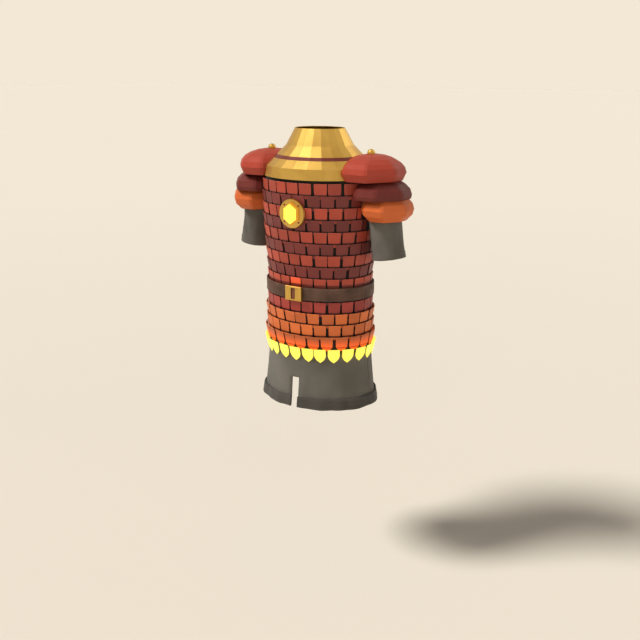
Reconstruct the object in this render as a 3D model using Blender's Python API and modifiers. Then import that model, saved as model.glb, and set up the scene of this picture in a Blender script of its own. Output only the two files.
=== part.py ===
"""A scale armour: a short sleeved tunic with rows of scales, a gorget, pauldrons, a belt and a brooch.

Metres, +Z up. The front faces -Y and +X is the garment's own left. The origin is on the middle
line at the height of the shoulders that hold the armour up, so heights below it are negative.
"""

import math

import bmesh
import bpy
import numpy as np

# Cloth and seams
CLOTH = 0.002
SEAM_GAP = 0.0003
SEAT_GAP = 0.0005

# The least angle between two faces that shades as an edge: plain, gorget facets, scales, lames
SHARP = 35.0
SHARP_FACET = 5.0
SHARP_SCALE = 10.0
SHARP_LAME = 25.0

# Tunic sections, from the hem to the neckline: height, half width, half depth
TUNIC_SECTIONS = (
    (-0.779, 0.2015, 0.1595),
    (-0.743, 0.1955, 0.1545),
    (-0.680, 0.1880, 0.1488),
    (-0.640, 0.1837, 0.1455),
    (-0.500, 0.1790, 0.1420),
    (-0.400, 0.1745, 0.1380),
    (-0.340, 0.1745, 0.1380),
    (-0.250, 0.1820, 0.1450),
    (-0.164, 0.1875, 0.1500),
    (-0.145, 0.1881, 0.1506),
    (-0.102, 0.1895, 0.1519),
    (-0.060, 0.1885, 0.1520),
    (-0.040, 0.1862, 0.1512),
    (-0.003, 0.1785, 0.1495),
    (0.020, 0.1478, 0.1233),
    (0.030, 0.1378, 0.1148),
    (0.058, 0.1078, 0.0895),
)
TUNIC_FACETS = 36

# Front slit of the skirt
SLIT_HALF_WIDTH = 0.0125
SLIT_TOP = -0.680

# Armholes, in the side seams above the armpit
ARMPIT = -0.164
ARMHOLE_TOP = -0.040
ARMHOLE_HALF_WIDTH = 0.047
ARMHOLE_LEVELS = (-0.157, -0.122, -0.082, -0.047)
# How far apart the cloth's columns stay beside an armhole, as a share of their even step
COLUMN_SQUEEZE = 0.15

# Sleeves, turned about the armpit from the armhole down to the cuff
SLEEVE_PIVOT_X = 0.1900
SLEEVE_ACROSS = 0.1015
SLEEVE_HALF_DEPTH = 0.054
SLEEVE_TILT = math.radians(8)
SLEEVE_LENGTH = 0.116
CUFF_HALF = 0.0515
ARMHOLE_CLEAR = 0.0007
SLEEVE_CLEAR = 0.0006
SLEEVE_FACETS = 16
SLEEVE_TURN_STEPS = 5
CUFF_STEPS = (0.5, 1.0)

# Hem band
BAND_TOP = -0.743
BAND_OUT = 0.005
BAND_CLEAR = 0.0012

# Gorget sections, from the lower edge to the neck rim: height, half width, half depth
GORGET_SECTIONS = (
    (-0.036, 0.1900, 0.1605),
    (-0.003, 0.1845, 0.1560),
    (0.020, 0.1540, 0.1300),
    (0.030, 0.1440, 0.1215),
    (0.061, 0.1120, 0.0945),
    (0.113, 0.0832, 0.0700),
)
GORGET_FACETS = 24
# How far the middle of a facet lies inside the ellipse, at most
FACET_SAG = 0.0017
GORGET_WALL = 0.0025
INLAY_WALL = 0.0016
INLAY_DEPTH = 0.0008

# Scale rows
SCALES_ROUND = 24
FIRST_ROW_TOP = -0.045
ROW_PITCH = 0.0376
SCALE_HEIGHT = 0.0487
SCALE_SIDE = 0.0365
VALLEY_DROP = 0.0040
# The lowest row hangs a little lower than its pitch
LAST_ROW_DROP = 0.003
SCALE_FILL = 0.90
SCALE_TAPER = 0.94
SCALE_WALL = 0.002
TOP_OFF = 0.0064
SIDE_OFF = 0.0022
VALLEY_OFF = 0.0016
TIP_OFF = 0.0007
# How far a scale lies off its even place, and the waves that spread this over scales and rows
UNEVEN = 0.042
UNEVEN_WAVES = (5.3, 2.9, 1.7, 3.1)
# The scales at the front are set by hand: row by row, in hundredths of the pitch off their even places
FRONT_SCALE = 17
FRONT_MOVES = (
    (-2, -4, -6, 1, -4, 4),
    (-2, -5, 3, -2, -2, 4),
    (0, -2, -3, 3, 3, 3),
    (-2, -2, 0, 0, 1, 3),
    (2, 1, 0, 0, -3, -3),
    (5, -4, -1, -3, 2, 3),
    (-3, -3, -4, 4, -4, 4),
    (-1, -1, -4, -4, -4, 4),
    (0, 0, -3, -4, -5, 3),
    (1, -2, 2, -1, 3, -2),
    (-1, -2, -3, -4, 3, 3),
    (5, -4, -4, 4, 2, 2),
    (-2, -2, -3, -3, 4, 4),
    (4, -5, -4, -4, 4, 4),
    (3, 3, 4, -5, -5, -2),
)
HUNDREDTH = 0.01
# The narrowest scale left at the end of a row, as a share of the pitch
LEAST_SCALE = 0.15

# One line for each row: finish, extra flare of its top edge, half width left free under the arms
ROWS = (
    ("red", 0.0, 0.0492),
    ("maroon", 0.0, 0.0492),
    ("red", 0.0, 0.0492),
    ("maroon", 0.0, 0.0265),
    ("red", 0.0, 0.0),
    ("maroon", 0.0, 0.0),
    ("red", 0.0, 0.0),
    ("maroon", 0.0, 0.0),
    ("red", 0.0, 0.0),
    ("maroon", 0.0, 0.0),
    ("crimson", 0.0, 0.0),
    ("amber", 0.0045, 0.0),
    ("amber", 0.001, 0.0),
    ("ember", 0.0045, 0.0),
    ("flame", 0.0055, 0.0),
)

# Belt and buckle
BELT_TOP = -0.3745
BELT_BOTTOM = -0.416
BELT_WALL = 0.004
BELT_FACETS = 40
BUCKLE_WIDTH = 0.060
BUCKLE_HEIGHT = 0.047
BUCKLE_WALL = 0.010
BUCKLE_BEVEL = 0.0012
SLOT_HALF_WIDTH = 0.0082
SLOT_HALF_HEIGHT = 0.018
SLOT_ROUND = 0.003
SLOT_CORNER_STEPS = 3
SLOT_CLEAR = 0.0003
TONGUE_RECESS = 0.003

# Brooch
BROOCH_HEIGHT = -0.1395
BROOCH_RADIUS = 0.0465
BROOCH_WALL = 0.006
BROOCH_BEVEL = 0.0015
BROOCH_FACETS = 32
# How far the flat back of the brooch comes in from the furthest that the scales reach
BROOCH_SINK = 0.0014
GEM_HALF_WIDTH = 0.0265
GEM_HALF_HEIGHT = 0.0365
GEM_RISE = 0.009
GEM_FACE = 0.88
STUD_AT = 0.0262
STUD_RADIUS = 0.0030
STUD_RISE = 0.0018
STUD_BEVEL = 0.0008
STUD_FACETS = 10

# Pauldron lames: distance from the middle, height of the widest line, half width, half depth,
# and how far the rim lies below the widest line. The first is the cap.
LAMES = (
    ("cap", 0.1915, -0.014, 0.1050, 0.1205, 0.024),
    ("middle", 0.2235, -0.080, 0.0950, 0.1090, 0.012),
    ("lower", 0.2450, -0.123, 0.0840, 0.0965, 0.036),
)
LAME_WALL = 0.0025
CAP_RISE = 0.0545
CAP_FLAT = 0.17
# Heights of a lame's rings over its widest line, as shares of its rise
CAP_LEVELS = (0.0, 0.30, 0.55, 0.76, 0.91)
LAME_LEVELS = (0.0, 0.35, 0.62, 0.84)
# A rim that lies deeper than this has a ring half way down
DEEP_RIM = 0.03
LAME_CORNERS = (15.6, 68.6, 111.4, 164.4, 195.6, 248.6, 291.4, 344.4)
LAME_CORNER_HALF = 3.0

# Knobs on the pauldron caps
KNOB_AT = 0.1870
KNOB_RADIUS = 0.0125
KNOB_HEIGHT = 0.0420
KNOB_FACETS = (10, 7)

# Shapes that the lames are cut to: heights under the gorget, and how far a sleeve's reaches into the body
ENVELOPE_LEVELS = (-0.30, -0.250, -0.164, -0.102, -0.060, -0.043)
ENVELOPE_IN = 0.06

FINISHES = {
    "cloth": ((0.115, 0.105, 0.090), 0.90, 0.0),
    "hem": ((0.080, 0.068, 0.056), 0.90, 0.0),
    "brass": ((0.520, 0.290, 0.070), 0.35, 1.0),
    "inlay": ((0.150, 0.035, 0.025), 0.45, 0.6),
    "red": ((0.340, 0.065, 0.035), 0.55, 0.2),
    "maroon": ((0.150, 0.035, 0.025), 0.55, 0.2),
    "crimson": ((0.300, 0.055, 0.045), 0.55, 0.2),
    "amber": ((0.500, 0.130, 0.050), 0.55, 0.2),
    "ember": ((0.700, 0.150, 0.040), 0.50, 0.1),
    "flame": ((1.000, 0.900, 0.140), 0.50, 0.0),
    "leather": ((0.095, 0.052, 0.030), 0.65, 0.0),
    "gem": ((1.000, 0.850, 0.100), 0.20, 0.0),
}


def clear_scene():
    """Remove whatever the scene holds."""
    for obj in list(bpy.data.objects):
        bpy.data.objects.remove(obj, do_unlink=True)


def new_collection(name, hidden=False):
    """A collection in the scene; a hidden one holds the cutters."""
    collection = bpy.data.collections.new(name)
    collection.hide_render = hidden
    bpy.context.scene.collection.children.link(collection)
    return collection


def material(name):
    """The Principled material of a finish, made once."""
    made = bpy.data.materials.get(name)
    if made:
        return made
    colour, roughness, metallic = FINISHES[name]
    made = bpy.data.materials.new(name)
    made.use_nodes = True
    shader = made.node_tree.nodes["Principled BSDF"]
    shader.inputs["Base Color"].default_value = (*colour, 1.0)
    shader.inputs["Roughness"].default_value = roughness
    shader.inputs["Metallic"].default_value = metallic
    return made


def add_object(name, mesh, finish, sharp_angle=SHARP):
    """Put a mesh in the armour's collection with its own finish."""
    mesh.materials.append(material(finish))
    mesh.shade_smooth()
    mesh.set_sharp_from_angle(angle=math.radians(sharp_angle))
    obj = bpy.data.objects.new(name, mesh)
    ARMOUR.objects.link(obj)
    return obj


def mesh_from(name, points, faces):
    """A mesh from computed points and faces, without the points that no face uses."""
    mesh = bpy.data.meshes.new(name)
    mesh.from_pydata([tuple(point) for point in points], [], faces)
    work = bmesh.new()
    work.from_mesh(mesh)
    loose = [vert for vert in work.verts if not vert.link_faces]
    bmesh.ops.delete(work, geom=loose, context="VERTS")
    work.to_mesh(mesh)
    work.free()
    return mesh


def mesh_from_bmesh(name, work):
    """Finish a bmesh as a mesh."""
    mesh = bpy.data.meshes.new(name)
    work.to_mesh(mesh)
    work.free()
    return mesh


def thicken(obj, wall, outward=False):
    """Give an open surface its wall, on the inside unless outward is asked."""
    modifier = obj.modifiers.new("Wall", "SOLIDIFY")
    modifier.thickness = wall
    modifier.offset = 1.0 if outward else -1.0
    modifier.use_even_offset = True
    modifier.use_rim = True


def cut(obj, cutter):
    """Take a cutter away from an object."""
    modifier = obj.modifiers.new("Cut " + cutter.name, "BOOLEAN")
    modifier.operation = "DIFFERENCE"
    modifier.object = cutter


def ellipse(angle, half_width, half_depth, height):
    """A point of a level ellipse about the middle line."""
    return (half_width * math.cos(angle), half_depth * math.sin(angle), height)


def size_at(sections, height):
    """Half width and half depth at a height, in straight steps between the sections."""
    heights = [row[0] for row in sections]
    half_width = float(np.interp(height, heights, [row[1] for row in sections]))
    half_depth = float(np.interp(height, heights, [row[2] for row in sections]))
    return half_width, half_depth


def grid_faces(levels, columns, skip=None, closed=False):
    """Outward faces of a grid of levels, upward, by columns, counter-clockwise seen from above."""
    faces = []
    steps = columns if closed else columns - 1
    for level in range(levels - 1):
        for column in range(steps):
            if skip and skip(level, column):
                continue
            after = (column + 1) % columns
            low, high = level * columns, (level + 1) * columns
            faces.append((low + column, low + after, high + after, high + column))
    return faces


def ring_shell(name, sections, facets, wall, finish, outward=False, sharp_angle=SHARP, grow=0.0):
    """A closed band through level ellipses, thickened to a wall."""
    points = [
        ellipse(math.tau * step / facets, half_width + grow, half_depth + grow, height)
        for height, half_width, half_depth in sections
        for step in range(facets)
    ]
    mesh = mesh_from(name, points, grid_faces(len(sections), facets, closed=True))
    obj = add_object(name, mesh, finish, sharp_angle)
    thicken(obj, wall, outward)
    return obj


def closed_loft(name, rings):
    """A solid through rings of equal length, closed flat at both ends, kept as a cutter."""
    columns = len(rings[0])
    points = [point for ring in rings for point in ring]
    faces = grid_faces(len(rings), columns, closed=True)
    faces.append(tuple(reversed(range(columns))))
    faces.append(tuple(range((len(rings) - 1) * columns, len(rings) * columns)))
    mesh = mesh_from(name, points, faces)
    work = bmesh.new()
    work.from_mesh(mesh)
    bmesh.ops.recalc_face_normals(work, faces=work.faces)
    work.to_mesh(mesh)
    work.free()
    obj = bpy.data.objects.new(name, mesh)
    obj.hide_render = True
    obj.display_type = "WIRE"
    CUTTERS.objects.link(obj)
    return obj


# Tunic


def armhole_half(height):
    """Half width of the armhole at a height, nothing outside it."""
    middle = (ARMPIT + ARMHOLE_TOP) / 2
    reach = (ARMHOLE_TOP - ARMPIT) / 2
    along = (height - middle) / reach
    return ARMHOLE_HALF_WIDTH * math.sqrt(max(0.0, 1.0 - along * along))


def panel_levels():
    """Heights of the tunic's rings, with more of them round the armhole."""
    return sorted({row[0] for row in TUNIC_SECTIONS} | set(ARMHOLE_LEVELS))


def panel_angles(height, half_width, half_depth):
    """Angles of a front panel's columns, from the right side seam to the left one, before it is turned."""
    edge = SEAM_GAP / half_width
    opening = armhole_half(height)
    if opening > 0.0:
        edge = max(edge, math.asin(opening / half_depth))
    step = math.tau / TUNIC_FACETS
    slit = math.asin(SLIT_HALF_WIDTH / half_width)
    columns = []
    for index in range(TUNIC_FACETS // 4):
        angle = max(index * step, edge + index * step * COLUMN_SQUEEZE)
        columns.append(angle)
    columns.append(math.pi / 2 - slit)
    return [-math.pi + angle for angle in columns] + [-angle for angle in reversed(columns)]


def make_panel(name, front):
    """The front or the back of the tunic, one wall from hem to neckline with its half of each armhole."""
    turn = 1.0 if front else -1.0
    levels = panel_levels()
    points = []
    for height in levels:
        half_width, half_depth = size_at(TUNIC_SECTIONS, height)
        for angle in panel_angles(height, half_width, half_depth):
            x, y, z = ellipse(angle, half_width, half_depth, height)
            points.append((turn * x, turn * y, z))
    columns = len(points) // len(levels)
    middle = columns // 2 - 1

    def in_slit(level, column):
        return front and column == middle and levels[level + 1] <= SLIT_TOP + 1e-6

    mesh = mesh_from(name, points, grid_faces(len(levels), columns, in_slit))
    obj = add_object(name, mesh, "cloth")
    thicken(obj, CLOTH)
    return obj


def make_hem_band():
    """The dark band round the hem, open at the slit, on the outside of the skirt."""
    steps = TUNIC_FACETS
    points = []
    heights = (TUNIC_SECTIONS[0][0], BAND_TOP)
    for height in heights:
        half_width, half_depth = size_at(TUNIC_SECTIONS, height)
        slit = math.asin(SLIT_HALF_WIDTH / half_width)
        start, end = -math.pi / 2 + slit, 3 * math.pi / 2 - slit
        for step in range(steps + 1):
            angle = start + (end - start) * step / steps
            grown = (half_width + BAND_CLEAR, half_depth + BAND_CLEAR)
            points.append(ellipse(angle, *grown, height))
    mesh = mesh_from("hem_band", points, grid_faces(len(heights), steps + 1))
    obj = add_object("hem_band", mesh, "hem")
    thicken(obj, BAND_OUT, outward=True)
    return obj


# Sleeves


def sleeve_ring(side, turn, grow=0.0):
    """A ring of the sleeve about the armpit: turn 1 lies in the armhole, turn 0 faces straight down."""
    armhole = ARMHOLE_TOP - ARMPIT
    across = SLEEVE_ACROSS + (armhole - SLEEVE_ACROSS) * turn
    depth = SLEEVE_HALF_DEPTH + (ARMHOLE_HALF_WIDTH - SLEEVE_HALF_DEPTH) * turn + grow
    angle = turn * math.pi / 2
    ring = []
    for step in range(SLEEVE_FACETS):
        around = math.tau * step / SLEEVE_FACETS
        reach = across / 2 + (across / 2 + grow) * math.cos(around) + SLEEVE_CLEAR * (1 - turn)
        x = SLEEVE_PIVOT_X + reach * math.cos(angle)
        z = ARMPIT + reach * math.sin(angle)
        ring.append((side * x, depth * math.sin(around), z))
    return ring


def sleeve_rings(side, grow=0.0):
    """All rings of a sleeve, from the armhole to the cuff."""
    rings = [sleeve_ring(side, 1 - step / SLEEVE_TURN_STEPS, grow) for step in range(SLEEVE_TURN_STEPS + 1)]
    start = SLEEVE_PIVOT_X + SLEEVE_ACROSS / 2
    for part in CUFF_STEPS:
        half = SLEEVE_ACROSS / 2 + (CUFF_HALF - SLEEVE_ACROSS / 2) * part + grow
        depth = SLEEVE_HALF_DEPTH + (CUFF_HALF - SLEEVE_HALF_DEPTH) * part + grow
        drop = SLEEVE_LENGTH * part
        middle = start + drop * math.tan(SLEEVE_TILT) + SLEEVE_CLEAR
        ring = []
        for step in range(SLEEVE_FACETS):
            around = math.tau * step / SLEEVE_FACETS
            lift = half * math.cos(around) * math.sin(SLEEVE_TILT) * part
            x = middle + half * math.cos(around)
            ring.append((side * x, depth * math.sin(around), ARMPIT - drop + lift))
        rings.append(ring)
    return rings


def make_sleeve(name, side):
    """One sleeve, a tube from its armhole to its open cuff."""
    rings = sleeve_rings(side)
    on_body = []
    for x, y, z in rings[0]:
        half_width, half_depth = size_at(TUNIC_SECTIONS, z)
        reach = half_width * math.sqrt(1 - (y / half_depth) ** 2)
        on_body.append((side * (reach + ARMHOLE_CLEAR), y, z))
    rings[0] = on_body
    points = [point for ring in rings for point in ring]
    mesh = mesh_from(name, points, grid_faces(len(rings), SLEEVE_FACETS, closed=True))
    work = bmesh.new()
    work.from_mesh(mesh)
    bmesh.ops.recalc_face_normals(work, faces=work.faces)
    work.to_mesh(mesh)
    work.free()
    obj = add_object(name, mesh, "cloth")
    thicken(obj, CLOTH)
    return obj


# Gorget


def gorget_band(low, high):
    """The gorget's sections between two heights, with those heights as ends."""
    inner = [row for row in GORGET_SECTIONS if low < row[0] < high]
    ends = [(height, *size_at(GORGET_SECTIONS, height)) for height in (low, high)]
    return [ends[0], *inner, ends[1]]


def make_gorget():
    """The shoulder plate, the narrow inlay above it and the collar round the neck."""
    plate_top, collar_low = GORGET_SECTIONS[2][0], GORGET_SECTIONS[3][0]
    lowest, rim = GORGET_SECTIONS[0][0], GORGET_SECTIONS[-1][0]
    facets = GORGET_FACETS
    plate = gorget_band(lowest, plate_top)
    ring_shell("gorget_plate", plate, facets, GORGET_WALL, "brass", sharp_angle=SHARP_FACET)
    inlay = gorget_band(plate_top + SEAM_GAP, collar_low - 2 * SEAM_GAP)
    ring_shell("gorget_inlay", inlay, facets, INLAY_WALL, "inlay", sharp_angle=SHARP_FACET, grow=-INLAY_DEPTH)
    collar = gorget_band(collar_low, rim)
    ring_shell("gorget_collar", collar, facets, GORGET_WALL, "brass", sharp_angle=SHARP_FACET)


# Scale rows


def evenly_round(half_width, half_depth):
    """Two functions of an ellipse: from a share of the way round, by length, to the angle there, and back."""
    angles = np.linspace(0.0, math.tau, 721)
    step = np.hypot(np.diff(half_width * np.cos(angles)), np.diff(half_depth * np.sin(angles)))
    walked = np.concatenate([[0.0], np.cumsum(step)])
    walked /= walked[-1]

    def angle_at(share):
        whole = math.floor(share)
        return whole * math.tau + float(np.interp(share - whole, walked, angles))

    def share_at(angle):
        return float(np.interp(angle, angles, walked))

    return angle_at, share_at


def scale_middle(row, index):
    """Where the middle of a scale lies, as a share of the way round; every other row is half a pitch on."""
    by_scale, by_row, inner, rate = UNEVEN_WAVES
    moves = FRONT_MOVES[row]
    if FRONT_SCALE <= index < FRONT_SCALE + len(moves):
        shift = HUNDREDTH * moves[index - FRONT_SCALE]
    else:
        shift = UNEVEN * math.sin(by_scale * index + by_row * row + inner * math.sin(rate * index))
    return (index + 0.5 * (row % 2) + shift) / SCALES_ROUND


def scale_points(row, index, top, flare, angle_at, limits):
    """The corners of one scale, cut off at its run's limits.

    They are: lower left and right, upper right and left, tip, and the valley after it.
    """
    middle = scale_middle(row, index)
    following = scale_middle(row, index + 1)
    half = SCALE_FILL / 2 / SCALES_ROUND

    def place(share, height, off):
        half_width, half_depth = size_at(TUNIC_SECTIONS, height)
        within = min(max(share, limits[0]), limits[1])
        return ellipse(angle_at(within), half_width + off, half_depth + off, height)

    side = top - SCALE_SIDE
    tip = top - SCALE_HEIGHT
    return (
        place(middle - half * SCALE_TAPER, side, SIDE_OFF),
        place(middle + half * SCALE_TAPER, side, SIDE_OFF),
        place(middle + half, top, TOP_OFF + flare),
        place(middle - half, top, TOP_OFF + flare),
        place(middle, tip, TIP_OFF),
        place((middle + following) / 2, side - VALLEY_DROP, VALLEY_OFF),
    )


def row_runs(free, half_depth, share_at):
    """The runs of a row, each with the ending of its name, its limits, and whether it is a whole ring."""
    if free == 0.0:
        return [("", (-1.0, 2.0), True)]
    turn = math.asin(free / half_depth)
    back = (share_at(turn), share_at(math.pi - turn))
    front = (share_at(math.pi + turn), share_at(math.tau - turn))
    return [("_back", back, False), ("_front", front, False)]


def kept_scales(row, limits):
    """The scales of a run that keep enough of their width between its limits."""
    half = SCALE_FILL / 2 / SCALES_ROUND
    found = []
    for index in range(SCALES_ROUND):
        middle = scale_middle(row, index)
        width = min(middle + half, limits[1]) - max(middle - half, limits[0])
        if width > LEAST_SCALE / SCALES_ROUND:
            found.append(index)
    return found


def run_faces(count, closed):
    """The faces of neighbouring scales, each with its six points, joined by the valleys between them."""
    faces = []
    for place in range(count):
        base = 6 * place
        low_left, low_right, high_right, high_left, tip, valley = range(base, base + 6)
        faces.append((low_left, low_right, high_right, high_left))
        first, last = place == 0 and not closed, place == count - 1 and not closed
        lower = [tip] if first else [6 * ((place - 1) % count) + 5, tip]
        lower += [] if last else [valley]
        faces.append((*lower, low_right, low_left))
        if not last:
            faces.append((valley, 6 * ((place + 1) % count), low_right))
    return faces


def make_row(row, finish, flare, free):
    """One row of scales, joined behind the next row's upper edge; rows at the arms are in two parts."""
    top = FIRST_ROW_TOP - ROW_PITCH * row - (LAST_ROW_DROP if row == len(ROWS) - 1 else 0.0)
    half_width, half_depth = size_at(TUNIC_SECTIONS, top - ROW_PITCH / 2)
    angle_at, share_at = evenly_round(half_width, half_depth)
    for ending, limits, closed in row_runs(free, half_depth, share_at):
        points = []
        kept = kept_scales(row, limits)
        for index in kept:
            points.extend(scale_points(row, index, top, flare, angle_at, limits))
        name = f"row_{row + 1:02d}{ending}"
        mesh = mesh_from(name, points, run_faces(len(kept), closed))
        obj = add_object(name, mesh, finish, SHARP_SCALE)
        thicken(obj, SCALE_WALL, outward=True)


# Belt, buckle and brooch


def belt_inner():
    """Half width and half depth of the belt's inner face, on the row of scales that it lies over."""
    middle = (BELT_TOP + BELT_BOTTOM) / 2
    half_width, half_depth = size_at(TUNIC_SECTIONS, middle)
    off = TOP_OFF + SCALE_WALL + SEAT_GAP
    return half_width + off, half_depth + off


def block(name, finish, size, place, bevel):
    """A box with small bevels, as a mesh object at the origin with its place in its mesh."""
    work = bmesh.new()
    bmesh.ops.create_cube(work, size=1.0)
    bmesh.ops.scale(work, vec=size, verts=work.verts)
    bmesh.ops.bevel(work, geom=list(work.edges), offset=bevel, segments=1, affect="EDGES")
    bmesh.ops.translate(work, vec=place, verts=work.verts)
    return add_object(name, mesh_from_bmesh(name, work), finish)


def slot_outline(half_width, half_height):
    """The buckle's slot, with its two upper corners a little rounded."""
    points = [(-half_width, -half_height), (half_width, -half_height)]
    for side, start in ((1, 0.0), (-1, math.pi / 2)):
        for step in range(SLOT_CORNER_STEPS + 1):
            turn = start + math.pi / 2 * step / SLOT_CORNER_STEPS
            x = side * (half_width - SLOT_ROUND) + SLOT_ROUND * math.cos(turn)
            points.append((x, half_height - SLOT_ROUND + SLOT_ROUND * math.sin(turn)))
    return points


def slot_prism(name, half_width, half_height, y_front, y_back, height):
    """A bar with the slot's outline, from its front to its back."""
    outline = slot_outline(half_width, half_height)
    count = len(outline)
    points = [(x, y_front, height + z) for x, z in outline] + [(x, y_back, height + z) for x, z in outline]
    faces = [tuple(range(count)), tuple(reversed(range(count, 2 * count)))]
    faces += [(i, i + count, (i + 1) % count + count, (i + 1) % count) for i in range(count)]
    work = bmesh.new()
    verts = [work.verts.new(point) for point in points]
    for face in faces:
        work.faces.new([verts[i] for i in face])
    bmesh.ops.recalc_face_normals(work, faces=work.faces)
    return mesh_from_bmesh(name, work)


def make_belt():
    """The belt, its square buckle and the brown tongue in the buckle's slot."""
    half_width, half_depth = belt_inner()
    sections = [(BELT_BOTTOM, half_width, half_depth), (BELT_TOP, half_width, half_depth)]
    ring_shell("belt", sections, BELT_FACETS, BELT_WALL, "leather", outward=True)
    back = -(half_depth + BELT_WALL + SEAT_GAP)
    height = (BELT_TOP + BELT_BOTTOM) / 2
    size = (BUCKLE_WIDTH, BUCKLE_WALL, BUCKLE_HEIGHT)
    buckle = block("buckle", "brass", size, (0, back - BUCKLE_WALL / 2, height), BUCKLE_BEVEL)
    y_front, y_back = back - 2 * BUCKLE_WALL, back + BUCKLE_WALL
    mesh = slot_prism("slot_cutter", SLOT_HALF_WIDTH, SLOT_HALF_HEIGHT, y_front, y_back, height)
    cutter = bpy.data.objects.new("slot_cutter", mesh)
    cutter.hide_render = True
    cutter.display_type = "WIRE"
    CUTTERS.objects.link(cutter)
    cut(buckle, cutter)
    front = back - BUCKLE_WALL + TONGUE_RECESS
    half_width, half_height = SLOT_HALF_WIDTH - SLOT_CLEAR, SLOT_HALF_HEIGHT - SLOT_CLEAR
    mesh = slot_prism("buckle_tongue", half_width, half_height, front, back, height)
    add_object("buckle_tongue", mesh, "leather")


def facing_disc(name, finish, radius, wall, back, centre, segments, bevel):
    """A disc that faces the front, with its back on a given plane."""
    work = bmesh.new()
    bmesh.ops.create_cone(
        work, cap_ends=True, segments=segments, radius1=radius, radius2=radius - bevel, depth=wall
    )
    for vert in work.verts:
        x, y, z = vert.co
        vert.co = (centre[0] + x, back - wall / 2 - z, centre[1] + y)
    bmesh.ops.recalc_face_normals(work, faces=work.faces)
    return add_object(name, mesh_from_bmesh(name, work), finish)


def make_brooch():
    """The round brooch on the chest: a disc, its long six-sided gem and four studs."""
    half_depth = max(size_at(TUNIC_SECTIONS, BROOCH_HEIGHT + part * BROOCH_RADIUS)[1] for part in (-1, 0, 1))
    back = -(half_depth + TOP_OFF + SCALE_WALL + SEAT_GAP - BROOCH_SINK)
    centre = (0, BROOCH_HEIGHT)
    facing_disc("brooch_disc", "brass", BROOCH_RADIUS, BROOCH_WALL, back, centre, BROOCH_FACETS, BROOCH_BEVEL)
    face = back - BROOCH_WALL - SEAM_GAP
    work = bmesh.new()
    bmesh.ops.create_cone(work, cap_ends=True, segments=6, radius1=1.0, radius2=GEM_FACE, depth=1.0)
    for vert in work.verts:
        x, y, z = vert.co
        wide = GEM_HALF_WIDTH / math.cos(math.pi / 6)
        vert.co = (x * wide, face - (z + 0.5) * GEM_RISE, BROOCH_HEIGHT + y * GEM_HALF_HEIGHT)
    bmesh.ops.recalc_face_normals(work, faces=work.faces)
    add_object("brooch_gem", mesh_from_bmesh("brooch_gem", work), "gem", SHARP_FACET)
    corners = [(across, up) for up in (1, -1) for across in (-1, 1)]
    for number, (across, up) in enumerate(corners, 1):
        centre = (across * STUD_AT, BROOCH_HEIGHT + up * STUD_AT)
        name = f"brooch_stud_{number}"
        facing_disc(name, "inlay", STUD_RADIUS, STUD_RISE, face, centre, STUD_FACETS, STUD_BEVEL)


# Pauldrons


def lame_angles():
    """Angles round a lame: eight broad sides with a narrow bevel at each corner."""
    found = []
    for corner in LAME_CORNERS:
        found += [corner - LAME_CORNER_HALF, corner + LAME_CORNER_HALF]
    return [math.radians(angle) for angle in found]


def flat_side():
    """How far out the outermost side of a lame lies, as a share of its half width."""
    return math.cos(math.radians(LAME_CORNERS[0] - LAME_CORNER_HALF))


def lame_rises():
    """How high each lame's round top stands over its widest line, so that it just meets the rim above."""
    rises = [CAP_RISE]
    for upper, lower in zip(LAMES[:-1], LAMES[1:]):
        _, upper_x, upper_z, upper_half, _, upper_drop = upper
        _, lower_x, lower_z, lower_half, _, _ = lower
        rim = upper_half * math.sqrt(1 - (upper_drop / rises[-1]) ** 2) * flat_side()
        meets = upper_x + rim - LAME_WALL - SEAT_GAP - lower_x
        share = meets / (lower_half * flat_side())
        over = upper_z - upper_drop - lower_z
        rises.append(over / math.sqrt(1 - share * share))
    return rises


def lame_levels(rise, drop, is_cap):
    """Heights over the widest line and the widths there, as shares, from the rim to the top."""
    lowest = -drop
    shares = CAP_LEVELS if is_cap else LAME_LEVELS
    heights = [lowest, *([lowest / 2] if drop > DEEP_RIM else []), *(rise * part for part in shares)]
    if is_cap:
        heights.append(rise * math.sqrt(1 - CAP_FLAT**2))
    return [(height, math.sqrt(1 - (height / rise) ** 2)) for height in heights]


def make_lame(side, lame, rise, envelopes):
    """One lame of a pauldron, cut to lie on the gorget, the scales and the sleeve."""
    place, out, level, half_width, half_depth, drop = lame
    is_cap = place == "cap"
    name = f"pauldron_{'left' if side > 0 else 'right'}_{place}"
    angles = lame_angles()
    points = []
    levels = lame_levels(rise, drop, is_cap)
    for height, share in levels:
        for angle in angles:
            x = out + half_width * share * math.cos(angle)
            y = half_depth * share * math.sin(angle)
            points.append((side * x, y, level + height))
    faces = grid_faces(len(levels), len(angles), closed=True)
    if is_cap:
        faces.append(tuple(range((len(levels) - 1) * len(angles), len(levels) * len(angles))))
    if side < 0:
        faces = [tuple(reversed(face)) for face in faces]
    finish = {"cap": "red", "middle": "maroon", "lower": "amber"}[place]
    obj = add_object(name, mesh_from(name, points, faces), finish, SHARP_LAME)
    thicken(obj, LAME_WALL)
    for envelope in envelopes:
        cut(obj, envelope)


def body_envelope():
    """The outside of the gorget and of the rows of scales, grown by the seat gap, to cut the lames with."""
    off = TOP_OFF + SCALE_WALL + SEAT_GAP + FACET_SAG
    sections = []
    for height in ENVELOPE_LEVELS:
        half_width, half_depth = size_at(TUNIC_SECTIONS, height)
        sections.append((height, half_width + off, half_depth + off))
    grow = 2 * SEAT_GAP
    for height, half_width, half_depth in GORGET_SECTIONS:
        sections.append((height, half_width + grow, half_depth + grow))
    facets = GORGET_FACETS
    rings = [
        [ellipse(math.tau * step / facets, half_width, half_depth, height) for step in range(facets)]
        for height, half_width, half_depth in sections
    ]
    return closed_loft("body_envelope", rings)


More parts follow.
